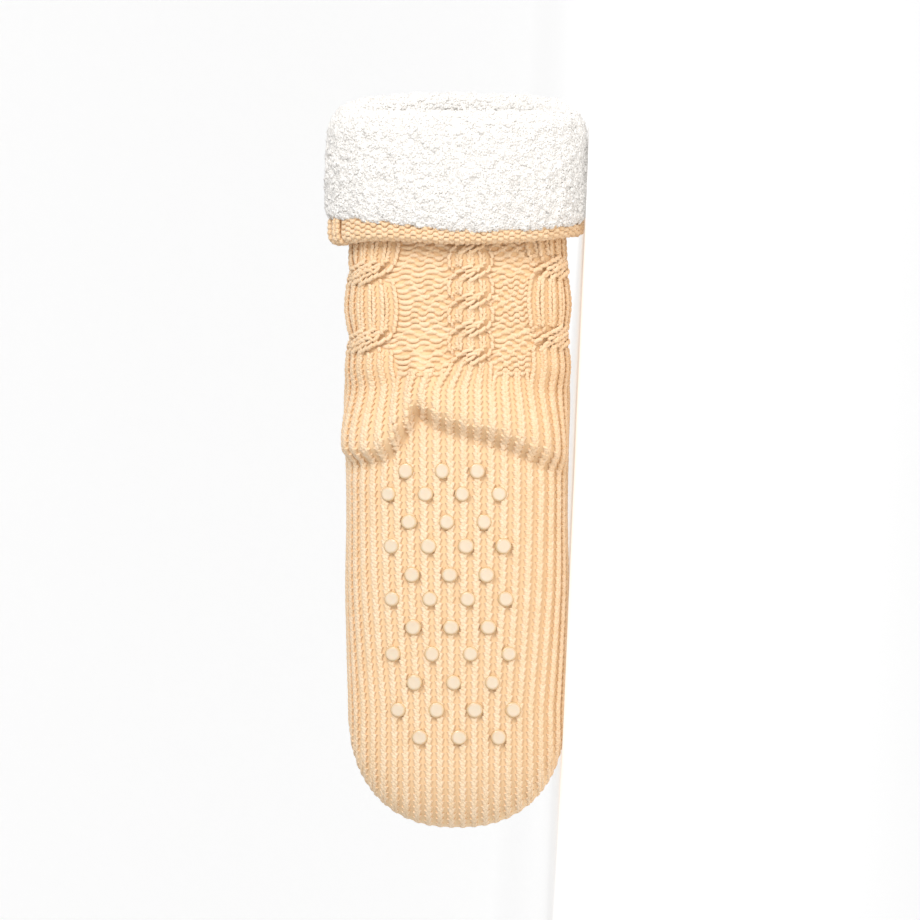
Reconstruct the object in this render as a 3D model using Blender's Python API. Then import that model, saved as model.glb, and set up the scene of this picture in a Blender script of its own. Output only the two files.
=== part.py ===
"""A knitted slipper sock with a turned-down fleece cuff, lying on its side.

Metres, +Z up. The sock is worked out along its own axis first: x runs from the toe tip to the collar,
the sole faces -y, the instep +y, and z runs across. A small tilt then lays it on the floor, on the side
of the ball and on the side of the cuff. The origin is on the floor, under the middle of its box.
"""
import math
from collections import namedtuple

import bmesh
import bpy
import numpy as np
from mathutils import Matrix, Vector

# Driving sizes of the knitted tube
FOOT_LENGTH = 0.205
LEG_LENGTH = 0.145
FOOT_WIDTH = 0.1125
LEG_WIDTH = 0.108
INSTEP_DEPTH = 0.084
LEG_DEPTH = 0.077
TOE_ROUND = 0.060
TOE_DEEP_ROUND = 0.038
TOE_ROUNDNESS = 2.3
KNIT_WALL = 0.0035
WALES = 48

# Cables and the fold of slack knit at the heel
CABLE_HEIGHT = 0.0022
CROSSING_PITCH = 0.036
CABLE_END = 0.025
HEEL_FOLD_HEIGHT = 0.0055
HEEL_FOLD_LENGTH = 0.036

# The turned-down cuff
CUFF_DROP = 0.055
CUFF_GAP = 0.0010
HEM_THICKNESS = 0.0110
HEM_HEIGHT = 0.0100
COLLAR_SLANT = 0.0144
PILE_OUTSIDE = 0.0088
PILE_ON_FOLD = 0.0075
PILE_INSIDE = 0.0065
LINING_DEPTH = 0.024
PILE_LUMP = 0.0009

# Silicone dots on the sole
DOT_DIAMETER = 0.0080
DOT_HEIGHT = 0.0017
DOT_SIDES = 12

# How the pieces meet each other and the floor
CLEARANCE = 0.0003
BALL_PRESS = 0.0010
CUFF_PRESS = 0.0024

SECTION_POINTS = 240

# Sections of the foot. at: share of FOOT_LENGTH from the toe. width: share of FOOT_WIDTH.
# depth and centre: shares of INSTEP_DEPTH. sole and instep: squareness of those two sides.
# The rounding of the toe comes on top of them.
Section = namedtuple("Section", "at width depth centre sole instep")
FOOT_SECTIONS = (
    Section(0.00, 0.975, 0.50, -0.165, 2.4, 2.2),
    Section(0.15, 0.975, 0.57, -0.140, 2.5, 2.2),
    Section(0.29, 0.975, 0.67, -0.105, 2.7, 2.2),
    Section(0.44, 0.990, 0.79, -0.060, 2.8, 2.2),
    Section(0.60, 1.002, 0.90, -0.020, 2.9, 2.3),
    Section(0.77, 0.992, 0.98, 0.010, 2.9, 2.4),
    Section(0.94, 1.003, 1.00, 0.018, 2.8, 2.5),
)

# Sections of the leg. at: share of LEG_LENGTH from the heel fold. width: share of LEG_WIDTH.
# depth and centre: shares of LEG_DEPTH.
LEG_SECTIONS = (
    Section(0.10, 1.055, 1.06, 0.015, 2.7, 2.5),
    Section(0.22, 1.033, 1.03, -0.005, 2.7, 2.5),
    Section(0.29, 1.010, 1.01, -0.015, 2.7, 2.5),
    Section(0.40, 1.040, 1.01, -0.020, 2.6, 2.6),
    Section(0.52, 1.010, 1.00, -0.020, 2.6, 2.6),
    Section(0.64, 0.992, 0.99, -0.020, 2.6, 2.6),
    Section(1.00, 0.992, 0.99, -0.020, 2.6, 2.6),
    Section(1.30, 0.992, 0.99, -0.020, 2.6, 2.6),
)

# The heel fold. turn: where on the way round, from the middle of the back. reach: how far the fold
# lies past FOOT_LENGTH, as a share of HEEL_FOLD_LENGTH. height: share of HEEL_FOLD_HEIGHT.
Fold = namedtuple("Fold", "turn reach height")
HEEL_FOLD = (
    Fold(-0.270, -0.40, 0.00),
    Fold(-0.215, -0.38, 0.40),
    Fold(-0.160, -0.35, 0.55),
    Fold(-0.115, -0.30, 0.65),
    Fold(-0.090, -0.04, 0.85),
    Fold(-0.068, 0.26, 1.00),
    Fold(-0.040, 0.19, 1.00),
    Fold(0.000, 0.08, 1.00),
    Fold(0.040, 0.01, 1.00),
    Fold(0.085, -0.07, 0.95),
    Fold(0.125, -0.21, 0.75),
    Fold(0.165, -0.38, 0.40),
    Fold(0.200, -0.50, 0.10),
    Fold(0.270, -0.50, 0.00),
)

# The cuff round the collar. turn: as above. edge: how far the hem's lower edge lies above CUFF_DROP,
# as a share of CUFF_DROP. band: the hem's height as a share of HEM_HEIGHT. lip: share of COLLAR_SLANT.
Rim = namedtuple("Rim", "turn edge band lip")
CUFF_RIM = (
    Rim(-0.50, 0.10, 1.00, 1.00),
    Rim(-0.36, 0.12, 1.15, 0.68),
    Rim(-0.25, 0.10, 1.45, 0.20),
    Rim(-0.19, 0.02, 1.35, 0.08),
    Rim(-0.12, 0.03, 1.10, 0.02),
    Rim(-0.06, 0.01, 1.05, 0.00),
    Rim(0.00, 0.00, 0.95, 0.00),
    Rim(0.06, 0.00, 0.80, 0.00),
    Rim(0.12, 0.02, 0.75, 0.02),
    Rim(0.19, 0.07, 0.85, 0.08),
    Rim(0.25, 0.09, 1.45, 0.20),
    Rim(0.36, 0.11, 1.15, 0.68),
    Rim(0.50, 0.10, 1.00, 1.00),
)

# Rope cables of the chart, in wales from the middle of the back. A strand is half of a rope.
Rope = namedtuple("Rope", "middle half_width pitch")
ROPES = (
    Rope(0.0, 2.0, 0.43),
    Rope(8.0, 3.0, 1.0),
    Rope(17.0, 3.0, 1.0),
    Rope(24.0, 2.0, 0.43),
)

# Rows of dots. along: share of FOOT_LENGTH from the toe. middle and pitch: shares of FOOT_WIDTH.
DotRow = namedtuple("DotRow", "along count middle pitch")
DOT_ROWS = (
    DotRow(0.228, 3, 0.010, 0.176),
    DotRow(0.295, 4, -0.006, 0.171),
    DotRow(0.362, 3, -0.016, 0.173),
    DotRow(0.432, 4, -0.026, 0.172),
    DotRow(0.497, 3, -0.028, 0.166),
    DotRow(0.566, 4, -0.036, 0.168),
    DotRow(0.625, 3, -0.034, 0.166),
    DotRow(0.695, 4, -0.044, 0.166),
    DotRow(0.754, 3, -0.047, 0.166),
    DotRow(0.822, 4, -0.060, 0.164),
    DotRow(0.878, 3, -0.068, 0.159),
)

# Colours as sRGB, with roughness
KNIT_COLOUR = (0.965, 0.855, 0.655)
KNIT_ROUGHNESS = 0.85
FLEECE_COLOUR = (0.950, 0.940, 0.920)
FLEECE_ROUGHNESS = 0.95
SILICONE_COLOUR = (0.930, 0.870, 0.730)
SILICONE_ROUGHNESS = 0.30


def smooth_curve(at, values, where):
    """A smooth curve through a few rows: cubic between them, and flat past both ends."""
    at, values = np.asarray(at, float), np.asarray(values, float)
    where = np.clip(where, at[0], at[-1])
    slopes = np.gradient(values, at)
    slopes[0] = 0.0
    slopes[-1] = 0.0
    k = np.clip(np.searchsorted(at, where) - 1, 0, len(at) - 2)
    step = at[k + 1] - at[k]
    t = (where - at[k]) / step
    low = (2 * t**3 - 3 * t**2 + 1) * values[k] + (t**3 - 2 * t**2 + t) * step * slopes[k]
    high = (3 * t**2 - 2 * t**3) * values[k + 1] + (t**3 - t**2) * step * slopes[k + 1]
    return low + high


def column(table, name):
    return [getattr(row, name) for row in table]


def smoothstep(low, high, value):
    t = np.clip((value - low) / (high - low), 0.0, 1.0)
    return t * t * (3.0 - 2.0 * t)


def signed(turn):
    """The way round as -0.5 to 0.5, with 0 at the middle of the back."""
    return (np.asarray(turn) + 0.5) % 1.0 - 0.5


def toe_rounding(x, length):
    left = np.clip(1.0 - x / length, 0.0, 1.0)
    return (1.0 - left**TOE_ROUNDNESS) ** (1.0 / TOE_ROUNDNESS)


def section_sizes(x):
    """Half width, half depth, centre and squareness of the tube at x."""
    foot, leg = FOOT_SECTIONS, LEG_SECTIONS
    at = [s.at * FOOT_LENGTH for s in foot] + [FOOT_LENGTH + s.at * LEG_LENGTH for s in leg]
    width = [s.width * FOOT_WIDTH for s in foot] + [s.width * LEG_WIDTH for s in leg]
    depth = [s.depth * INSTEP_DEPTH for s in foot] + [s.depth * LEG_DEPTH for s in leg]
    centre = [s.centre * INSTEP_DEPTH for s in foot] + [s.centre * LEG_DEPTH for s in leg]
    sole = column(foot + leg, "sole")
    instep = column(foot + leg, "instep")
    half_width = smooth_curve(at, width, x) / 2 * toe_rounding(x, TOE_ROUND)
    half_depth = smooth_curve(at, depth, x) / 2 * toe_rounding(x, TOE_DEEP_ROUND)
    centre = smooth_curve(at, centre, x)
    return half_width, half_depth, centre, smooth_curve(at, sole, x), smooth_curve(at, instep, x)


def tube(x, turn):
    """Points of the plain tube at x, spaced evenly round from the middle of the back."""
    x, turn = np.broadcast_arrays(np.asarray(x, float), np.asarray(turn, float))
    half_width, half_depth, centre, sole, instep = section_sizes(x.ravel())
    angle = np.linspace(0.0, 2 * math.pi, SECTION_POINTS + 1)
    across, up = -np.sin(angle), -np.cos(angle)
    power = 2.0 / np.where(up < 0.0, sole[:, None], instep[:, None])
    z = half_width[:, None] * np.sign(across) * np.abs(across) ** power
    y = centre[:, None] + half_depth[:, None] * np.sign(up) * np.abs(up) ** power
    lengths = np.hypot(np.diff(y, axis=1), np.diff(z, axis=1))
    reached = np.concatenate([np.zeros((len(y), 1)), np.cumsum(lengths, axis=1)], axis=1)
    wanted = (turn.ravel() % 1.0) * reached[:, -1]
    out = np.empty((len(y), 3))
    out[:, 0] = x.ravel()
    for i in range(len(y)):
        out[i, 1] = np.interp(wanted[i], reached[i], y[i])
        out[i, 2] = np.interp(wanted[i], reached[i], z[i])
    return out.reshape(x.shape + (3,))


def outward(x, turn):
    """The plain tube's outward normals."""
    step_x, step_turn = 0.0004, 0.004
    along = tube(np.asarray(x) + step_x, turn) - tube(np.maximum(np.asarray(x) - step_x, 1e-5), turn)
    around = tube(x, np.asarray(turn) + step_turn) - tube(x, np.asarray(turn) - step_turn)
    normal = np.cross(around, along)
    return normal / np.linalg.norm(normal, axis=-1, keepdims=True)


def heel_fold_at(turn):
    """Where the heel fold lies, and how high it stands, on the way round."""
    turn = signed(turn)
    at = column(HEEL_FOLD, "turn")
    reach = smooth_curve(at, column(HEEL_FOLD, "reach"), turn) * HEEL_FOLD_LENGTH
    height = smooth_curve(at, column(HEEL_FOLD, "height"), turn) * HEEL_FOLD_HEIGHT
    return reach, height


def heel_fold(x, turn):
    """The fold stands up sharply on its toe side, and dies away slowly up the leg."""
    reach, height = heel_fold_at(turn)
    past = (x - FOOT_LENGTH - reach) / HEEL_FOLD_LENGTH
    return height * smoothstep(-0.06, 0.10, past) * (1.0 - smoothstep(0.18, 1.0, past))


def cables(x, turn):
    """Height of the rope cables: two strands that cross, one over the other, at each crossing."""
    wale = np.abs(signed(turn)) * WALES
    on_sole = wale < WALES / 4
    ends = np.where(on_sole, FOOT_LENGTH + CABLE_END, TOE_ROUND)
    shown = smoothstep(0.0, CROSSING_PITCH / 4, x - ends)
    height = np.zeros(np.shape(shown))
    for rope in ROPES:
        phase = math.pi * (x - FOOT_LENGTH) / (CROSSING_PITCH * rope.pitch)
        strand = rope.half_width / 2
        for side in (-1.0, 1.0):
            middle = rope.middle + side * strand * np.cos(phase)
            over = 0.75 + 0.25 * side * np.sin(phase)
            ridge = np.exp(-(((wale - middle) / strand) ** 2) * 1.2)
            height = np.maximum(height, over * ridge)
    return CABLE_HEIGHT * height * shown


def knit_surface(x, turn):
    """The knit's outer face, with its cables and its heel fold."""
    raised = cables(x, turn) + heel_fold(x, turn)
    return tube(x, turn) + outward(x, turn) * raised[..., None]


def off_leg(x, turn, offset):
    """Points that stand off the plain tube of the leg by an offset."""
    return tube(x, turn) + outward(x, turn) * np.asarray(offset)[..., None]


def rim(turn):
    """Hem's lower edge, top of its band and the knit's turn at the collar, on the way round."""
    turn = signed(turn)
    at = column(CUFF_RIM, "turn")
    collar = FOOT_LENGTH + LEG_LENGTH + COLLAR_SLANT * smooth_curve(at, column(CUFF_RIM, "lip"), turn)
    edge = FOOT_LENGTH + LEG_LENGTH - CUFF_DROP * (1.0 - smooth_curve(at, column(CUFF_RIM, "edge"), turn))
    band = edge + HEM_HEIGHT * smooth_curve(at, column(CUFF_RIM, "band"), turn)
    return edge, band, collar


def pile_lumps(x, turn):
    """The fleece's larger lumps, as a few waves round and along the cuff."""
    around = 2 * math.pi * turn
    along = 2 * math.pi * x / CUFF_DROP
    waves = np.sin(7 * around + 1.3 * np.sin(2 * along)) + np.sin(11 * around - 3 * along)
    return PILE_LUMP / 2 * waves


def outer_rows(turn):
    """Rows of points up the knit's outside and round its hem, from the toe to the collar's turn."""
    toe = np.array([0.010, 0.045, 0.11, 0.21, 0.34, 0.50, 0.68, 0.86]) * TOE_ROUND
    foot = np.linspace(TOE_ROUND, 0.86 * FOOT_LENGTH, 14)
    heel = FOOT_LENGTH + HEEL_FOLD_LENGTH * np.array([-0.55, -0.36, -0.20, -0.06, 0.10, 0.28, 0.50, 0.72])
    edge, band, collar = rim(turn)
    hidden = np.mean(edge) + HEM_HEIGHT
    leg = np.linspace(FOOT_LENGTH + HEEL_FOLD_LENGTH, hidden, 15)
    rows = []
    reach, _ = heel_fold_at(turn)
    for x in np.concatenate([toe, foot, heel, leg]):
        near = 1.0 - smoothstep(0.2, 1.3, abs(x - FOOT_LENGTH) / HEEL_FOLD_LENGTH)
        rows.append(knit_surface(x + reach * near, turn))
    face = CUFF_GAP + KNIT_WALL
    out = CUFF_GAP + HEM_THICKNESS
    round_edge = HEM_THICKNESS / 4
    turned = collar - KNIT_WALL
    for x, offset in (
        (turned, 0.0),
        (turned, CUFF_GAP),
        (edge + round_edge, CUFF_GAP),
        (edge, CUFF_GAP + round_edge),
        (edge, out - round_edge),
        (edge + round_edge, out),
        (band - round_edge / 2, out),
        (band, out - round_edge / 2),
        (band, face),
        (collar - KNIT_WALL / 2, face),
        (collar, CUFF_GAP),
        (collar, -KNIT_WALL * 0.4),
        (collar - KNIT_WALL / 2, -KNIT_WALL),
    ):
        rows.append(off_leg(x, turn, np.full(len(turn), offset)))
    return rows


def inner_rows(turn):
    """Rows of points down the knit's inside, from the collar to the toe."""
    rows = []
    inner_leg = np.linspace(FOOT_LENGTH + 0.8 * LEG_LENGTH, FOOT_LENGTH, 5)
    inner_foot = np.linspace(0.86 * FOOT_LENGTH, TOE_ROUND, 5)
    inner_toe = np.array([0.66, 0.36, 0.14, 0.04]) * TOE_ROUND
    for x in np.concatenate([inner_leg, inner_foot, inner_toe]):
        rows.append(off_leg(np.full(len(turn), x), turn, np.full(len(turn), -KNIT_WALL)))
    return rows


def cuff_rows(turn):
    """Rows of points round the fleece's own section: outside, over the fold and down the lining."""
    edge, band, collar = rim(turn)
    on_knit = CUFF_GAP + KNIT_WALL + CLEARANCE
    out = on_knit + PILE_OUTSIDE
    lined = -KNIT_WALL - CLEARANCE
    deep = lined - PILE_INSIDE
    foot = band + CLEARANCE
    top = collar + CLEARANCE + PILE_ON_FOLD
    end = collar - LINING_DEPTH
    corner = PILE_OUTSIDE / 4
    middle = (foot + collar) / 2
    profile = (
        (foot, on_knit, 0.0),
        (foot, out - corner, 0.0),
        (foot + corner, out, 1.0),
        ((foot + middle) / 2, out + PILE_LUMP, 1.0),
        (middle, out + PILE_LUMP / 2, 1.0),
        ((middle + collar) / 2, out - corner / 2, 1.0),
        (collar, out - corner * 1.2, 1.0),
        (top - corner, out / 2, 1.0),
        (top, 0.0, 1.0),
        (top - corner, deep / 2, 1.0),
        (collar, deep, 1.0),
        ((collar + end) / 2, deep, 1.0),
        (end + corner, deep, 0.0),
        (end, deep + corner, 0.0),
        (end, lined, 0.0),
        (collar - KNIT_WALL / 2, lined, 0.0),
        (collar + CLEARANCE, -KNIT_WALL * 0.4, 0.0),
        (collar + CLEARANCE, CUFF_GAP + CLEARANCE, 0.0),
        (collar - KNIT_WALL / 2 + CLEARANCE, on_knit, 0.0),
    )
    rows = []
    for x, offset, lumpy in profile:
        rows.append(off_leg(x, turn, offset + lumpy * pile_lumps(x, turn)))
    return rows


def press_flat(points, floor):
    """Points below the floor's plane are brought up onto it."""
    normal, height = floor
    below = np.minimum(points @ normal - height, 0.0)
    return points - below[..., None] * normal


def lying_tilt(knit, cuff):
    """The tilt that lays the ball and the cuff on one floor, and that floor in the sock's own frame."""
    foot = np.concatenate(knit)
    foot = foot[foot[:, 0] < FOOT_LENGTH / 2]
    cuff = np.concatenate(cuff)
    tilt = 0.0
    for _ in range(8):
        normal = np.array([math.sin(tilt), 0.0, math.cos(tilt)])
        low_foot = foot[np.argmin(foot @ normal)] + normal * BALL_PRESS
        low_cuff = cuff[np.argmin(cuff @ normal)] + normal * CUFF_PRESS
        tilt = math.atan2(low_foot[2] - low_cuff[2], low_cuff[0] - low_foot[0])
    normal = np.array([math.sin(tilt), 0.0, math.cos(tilt)])
    height = min(low_foot @ normal, low_cuff @ normal)
    return tilt, (normal, height)


def strip_faces(rows, count, closed):
    """Two triangles for each cell between rows of equal count."""
    faces = []
    last = rows if closed else rows - 1
    for r in range(last):
        for c in range(count):
            a = r * count + c
            b = r * count + (c + 1) % count
            d = ((r + 1) % rows) * count + c
            e = ((r + 1) % rows) * count + (c + 1) % count
            faces += [(a, b, e), (a, e, d)]
    return faces


def finish_mesh(name, vertices, faces):
    """A mesh with its faces pointing out, shaded smooth but for its true edges."""
    mesh = bpy.data.meshes.new(name)
    mesh.from_pydata([tuple(map(float, v)) for v in vertices], [], faces)
    work = bmesh.new()
    work.from_mesh(mesh)
    bmesh.ops.recalc_face_normals(work, faces=work.faces)
    work.to_mesh(mesh)
    work.free()
    mesh.shade_smooth()
    mesh.set_sharp_from_angle(angle=math.radians(50))
    return mesh


def add_object(name, mesh, material, parent):
    if not mesh.materials:
        mesh.materials.append(material)
    piece = bpy.data.objects.new(name, mesh)
    piece.parent = parent
    bpy.context.scene.collection.objects.link(piece)
    return piece


def make_material(name, colour, roughness):
    material = bpy.data.materials.new(name)
    material.use_nodes = True
    shader = material.node_tree.nodes["Principled BSDF"]
    linear = [c / 12.92 if c <= 0.04045 else ((c + 0.055) / 1.055) ** 2.4 for c in colour]
    shader.inputs["Base Color"].default_value = (*linear, 1.0)
    shader.inputs["Roughness"].default_value = roughness
    shader.inputs["Metallic"].default_value = 0.0
    return material


def make_knit(rows, parent, material):
    """The knit, closed at the toe outside and inside, and open at the collar."""
    count = len(rows[0])
    centre = section_sizes(np.array([0.0]))[2][0]
    tips = [(0.0, centre, 0.0), (KNIT_WALL, centre, 0.0)]
    vertices = list(np.concatenate(rows)) + tips
    faces = strip_faces(len(rows), count, closed=False)
    outer_tip, inner_tip = len(vertices) - 2, len(vertices) - 1
    last = (len(rows) - 1) * count
    for c in range(count):
        following = (c + 1) % count
        faces.append((outer_tip, following, c))
        faces.append((inner_tip, last + c, last + following))
    return add_object("knit_foot_and_leg", finish_mesh("knit", vertices, faces), material, parent)


def make_cuff(rows, parent, material):
    """The fleece, a ring of its own section round the collar."""
    faces = strip_faces(len(rows), len(rows[0]), closed=True)
    mesh = finish_mesh("fleece", list(np.concatenate(rows)), faces)
    return add_object("sherpa_cuff", mesh, material, parent)


def dot_mesh():
    """A low drop: a foot, a belly and a flattened top."""
    radius = DOT_DIAMETER / 2
    vertices = []
    for share, height in ((0.97, 0.0), (1.0, 0.35), (0.62, 1.0)):
        for k in range(DOT_SIDES):
            angle = 2 * math.pi * k / DOT_SIDES
            reach = radius * share
            vertices.append((reach * math.cos(angle), reach * math.sin(angle), height * DOT_HEIGHT))
    faces = strip_faces(3, DOT_SIDES, closed=False)
    for k in range(1, DOT_SIDES - 1):
        faces.append((0, k + 1, k))
        top = 2 * DOT_SIDES
        faces.append((top, top + k, top + k + 1))
    return finish_mesh("grip_dot", vertices, faces)


def dot_places():
    """Each dot's place along the sole and on the way round."""
    turns = np.linspace(-0.2, 0.2, 201)
    for row in DOT_ROWS:
        x = row.along * FOOT_LENGTH
        across = -tube(np.full(len(turns), x), turns)[:, 2]
        for k in range(row.count):
            aside = (row.middle + (k - (row.count - 1) / 2) * row.pitch) * FOOT_WIDTH
            yield x, float(np.interp(aside, across, turns))


def make_dots(parent, material):
    """The dots stand on the sole, each square to the knit under it."""
    mesh = dot_mesh()
    radius = DOT_DIAMETER / 2
    ring = np.linspace(0.0, 2 * math.pi, 16, endpoint=False)
    for number, (x, turn) in enumerate(dot_places(), start=1):
        point = tube(x, turn)
        normal = Vector(outward(x, turn))
        girth = radius / (FOOT_WIDTH * 2.6)
        around = tube(x + radius * np.cos(ring), turn + girth * np.sin(ring))
        sag = float(np.max((around - point) @ np.array(normal)))
        place = Vector(point) + normal * (CLEARANCE + max(sag, 0.0))
        turned = normal.to_track_quat("Z", "Y").to_matrix().to_4x4()
        dot = add_object(f"grip_dot_{number:02d}", mesh, material, parent)
        dot.matrix_local = Matrix.Translation(place) @ turned


def box_of(points):
    return points.min(axis=0), points.max(axis=0)


def build():
    for old in list(bpy.data.objects):
        bpy.data.objects.remove(old, do_unlink=True)
    turn = np.arange(WALES) / WALES
    outside = outer_rows(turn)
    cuff = cuff_rows(turn)
    tilt, floor = lying_tilt(outside, cuff)
    knit = [press_flat(row, floor) for row in outside] + inner_rows(turn)
    cuff = [press_flat(row, floor) for row in cuff]

    lying = Matrix.Rotation(-tilt, 4, "Y")
    laid = np.concatenate(knit + cuff) @ np.array(lying.to_3x3()).T
    low, high = box_of(laid)
    sock = bpy.data.objects.new("sock_lying", None)
    bpy.context.scene.collection.objects.link(sock)
    sock.rotation_euler = (0.0, -tilt, 0.0)
    sock.location = (-(low[0] + high[0]) / 2, -(low[1] + high[1]) / 2, -low[2])

    yarn = make_material("cream_acrylic_knit", KNIT_COLOUR, KNIT_ROUGHNESS)
    fleece = make_material("white_sherpa_fleece", FLEECE_COLOUR, FLEECE_ROUGHNESS)
    silicone = make_material("clear_cream_silicone", SILICONE_COLOUR, SILICONE_ROUGHNESS)
    make_knit(knit, sock, yarn)
    make_cuff(cuff, sock, fleece)
    make_dots(sock, silicone)


build()
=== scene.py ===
import math
from collections import namedtuple
from functools import partial

import bmesh
import bpy
import numpy as np
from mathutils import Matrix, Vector, noise


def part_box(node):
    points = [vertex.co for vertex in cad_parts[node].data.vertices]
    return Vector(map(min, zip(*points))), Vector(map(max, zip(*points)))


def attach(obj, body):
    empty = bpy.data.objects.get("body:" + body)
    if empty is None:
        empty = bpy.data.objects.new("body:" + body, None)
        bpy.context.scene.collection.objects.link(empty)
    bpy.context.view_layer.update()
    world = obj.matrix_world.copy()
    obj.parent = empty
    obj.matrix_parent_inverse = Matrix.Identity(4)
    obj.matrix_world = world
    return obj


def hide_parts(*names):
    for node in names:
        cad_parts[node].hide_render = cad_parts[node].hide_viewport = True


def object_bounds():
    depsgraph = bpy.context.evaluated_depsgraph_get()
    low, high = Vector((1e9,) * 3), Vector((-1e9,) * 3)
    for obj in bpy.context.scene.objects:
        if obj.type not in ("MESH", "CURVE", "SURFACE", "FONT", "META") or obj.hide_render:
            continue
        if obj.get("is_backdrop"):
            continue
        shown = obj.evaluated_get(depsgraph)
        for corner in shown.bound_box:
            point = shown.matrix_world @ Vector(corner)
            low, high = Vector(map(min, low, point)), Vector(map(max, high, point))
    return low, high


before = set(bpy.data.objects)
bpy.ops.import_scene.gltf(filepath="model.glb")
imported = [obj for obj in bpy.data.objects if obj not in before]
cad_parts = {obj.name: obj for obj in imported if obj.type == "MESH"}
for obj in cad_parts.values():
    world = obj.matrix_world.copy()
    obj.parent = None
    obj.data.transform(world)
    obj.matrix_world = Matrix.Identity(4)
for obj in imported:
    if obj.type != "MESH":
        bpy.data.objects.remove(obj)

cad_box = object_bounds()

# The knitted tube. The real one is chunky acrylic yarn, knitted whole in the round on 48 needles, from
# the collar down to the toe. Its form comes first, in the sock's own frame: x runs from the toe tip to
# the collar, the sole and the back of the leg face -y, and turn goes once round from their middle.
FOOT_LENGTH = 0.205
LEG_LENGTH = 0.145
FOOT_WIDTH = 0.1125
LEG_WIDTH = 0.108
INSTEP_DEPTH = 0.084
LEG_DEPTH = 0.077
TOE_ROUND = 0.060
TOE_DEEP_ROUND = 0.038
TOE_ROUNDNESS = 2.3
KNIT_WALL = 0.0035
WALES = 48

# Each row: its place along the foot or the leg, then the width, depth and middle there as shares of
# the sizes above, and how square the section is on its sole side and its instep side.
FOOT_SECTIONS = (
    (0.00, 0.975, 0.50, -0.165, 2.4, 2.2),
    (0.15, 0.975, 0.57, -0.140, 2.5, 2.2),
    (0.29, 0.975, 0.67, -0.105, 2.7, 2.2),
    (0.44, 0.990, 0.79, -0.060, 2.8, 2.2),
    (0.60, 1.002, 0.90, -0.020, 2.9, 2.3),
    (0.77, 0.992, 0.98, 0.010, 2.9, 2.4),
    (0.94, 1.003, 1.00, 0.018, 2.8, 2.5),
)
LEG_SECTIONS = (
    (0.10, 1.055, 1.06, 0.015, 2.7, 2.5),
    (0.22, 1.033, 1.03, -0.005, 2.7, 2.5),
    (0.29, 1.010, 1.01, -0.015, 2.7, 2.5),
    (0.40, 1.040, 1.01, -0.020, 2.6, 2.6),
    (0.52, 1.010, 1.00, -0.020, 2.6, 2.6),
    (0.64, 0.992, 0.99, -0.020, 2.6, 2.6),
    (1.00, 0.992, 0.99, -0.020, 2.6, 2.6),
    (1.30, 0.992, 0.99, -0.020, 2.6, 2.6),
)
FOOT_SIZES = (FOOT_LENGTH, FOOT_WIDTH, INSTEP_DEPTH, INSTEP_DEPTH, 1.0, 1.0)
LEG_SIZES = (LEG_LENGTH, LEG_WIDTH, LEG_DEPTH, LEG_DEPTH, 1.0, 1.0)
HEEL_PLACE = (FOOT_LENGTH, 0.0, 0.0, 0.0, 0.0, 0.0)
SECTIONS = np.vstack([
    np.multiply(FOOT_SECTIONS, FOOT_SIZES),
    HEEL_PLACE + np.multiply(LEG_SECTIONS, LEG_SIZES),
])


def smooth_curve(at, values, where):
    """A smooth curve through a few rows: cubic between them, and flat past both ends."""
    at, values = np.asarray(at, float), np.asarray(values, float)
    where = np.clip(where, at[0], at[-1])
    slopes = np.gradient(values, at)
    slopes[0] = 0.0
    slopes[-1] = 0.0
    k = np.clip(np.searchsorted(at, where) - 1, 0, len(at) - 2)
    step = at[k + 1] - at[k]
    t = (where - at[k]) / step
    low = (2 * t**3 - 3 * t**2 + 1) * values[k] + (t**3 - 2 * t**2 + t) * step * slopes[k]
    high = (3 * t**2 - 2 * t**3) * values[k + 1] + (t**3 - t**2) * step * slopes[k + 1]
    return low + high


def smoothstep(low, high, value):
    t = np.clip((value - low) / (high - low), 0.0, 1.0)
    return t * t * (3.0 - 2.0 * t)


def signed(turn):
    return (np.asarray(turn) + 0.5) % 1.0 - 0.5


def unit(vectors):
    return vectors / np.maximum(np.linalg.norm(vectors, axis=-1, keepdims=True), 1e-12)


def toe_rounding(x, length):
    left = np.clip(1.0 - x / length, 0.0, 1.0)
    return (1.0 - left**TOE_ROUNDNESS) ** (1.0 / TOE_ROUNDNESS)


def section_sizes(x):
    """Half width, half depth and middle, and how square the section is on its two sides."""
    width, depth, centre, sole, instep = (smooth_curve(SECTIONS[:, 0], part, x) for part in SECTIONS.T[1:])
    half_width = width / 2 * toe_rounding(x, TOE_ROUND)
    half_depth = depth / 2 * toe_rounding(x, TOE_DEEP_ROUND)
    return half_width, half_depth, centre, sole, instep


# The plain tube is worked out once on a fine grid, evenly spaced round each section, and read from it.
TUBE_END = 0.376
STATIONS = np.concatenate(
    [TOE_ROUND * np.linspace(0.0, 1.0, 120) ** 2, np.arange(TOE_ROUND, TUBE_END, 0.001)[1:]]
)
TURN_STEPS = 384


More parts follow.
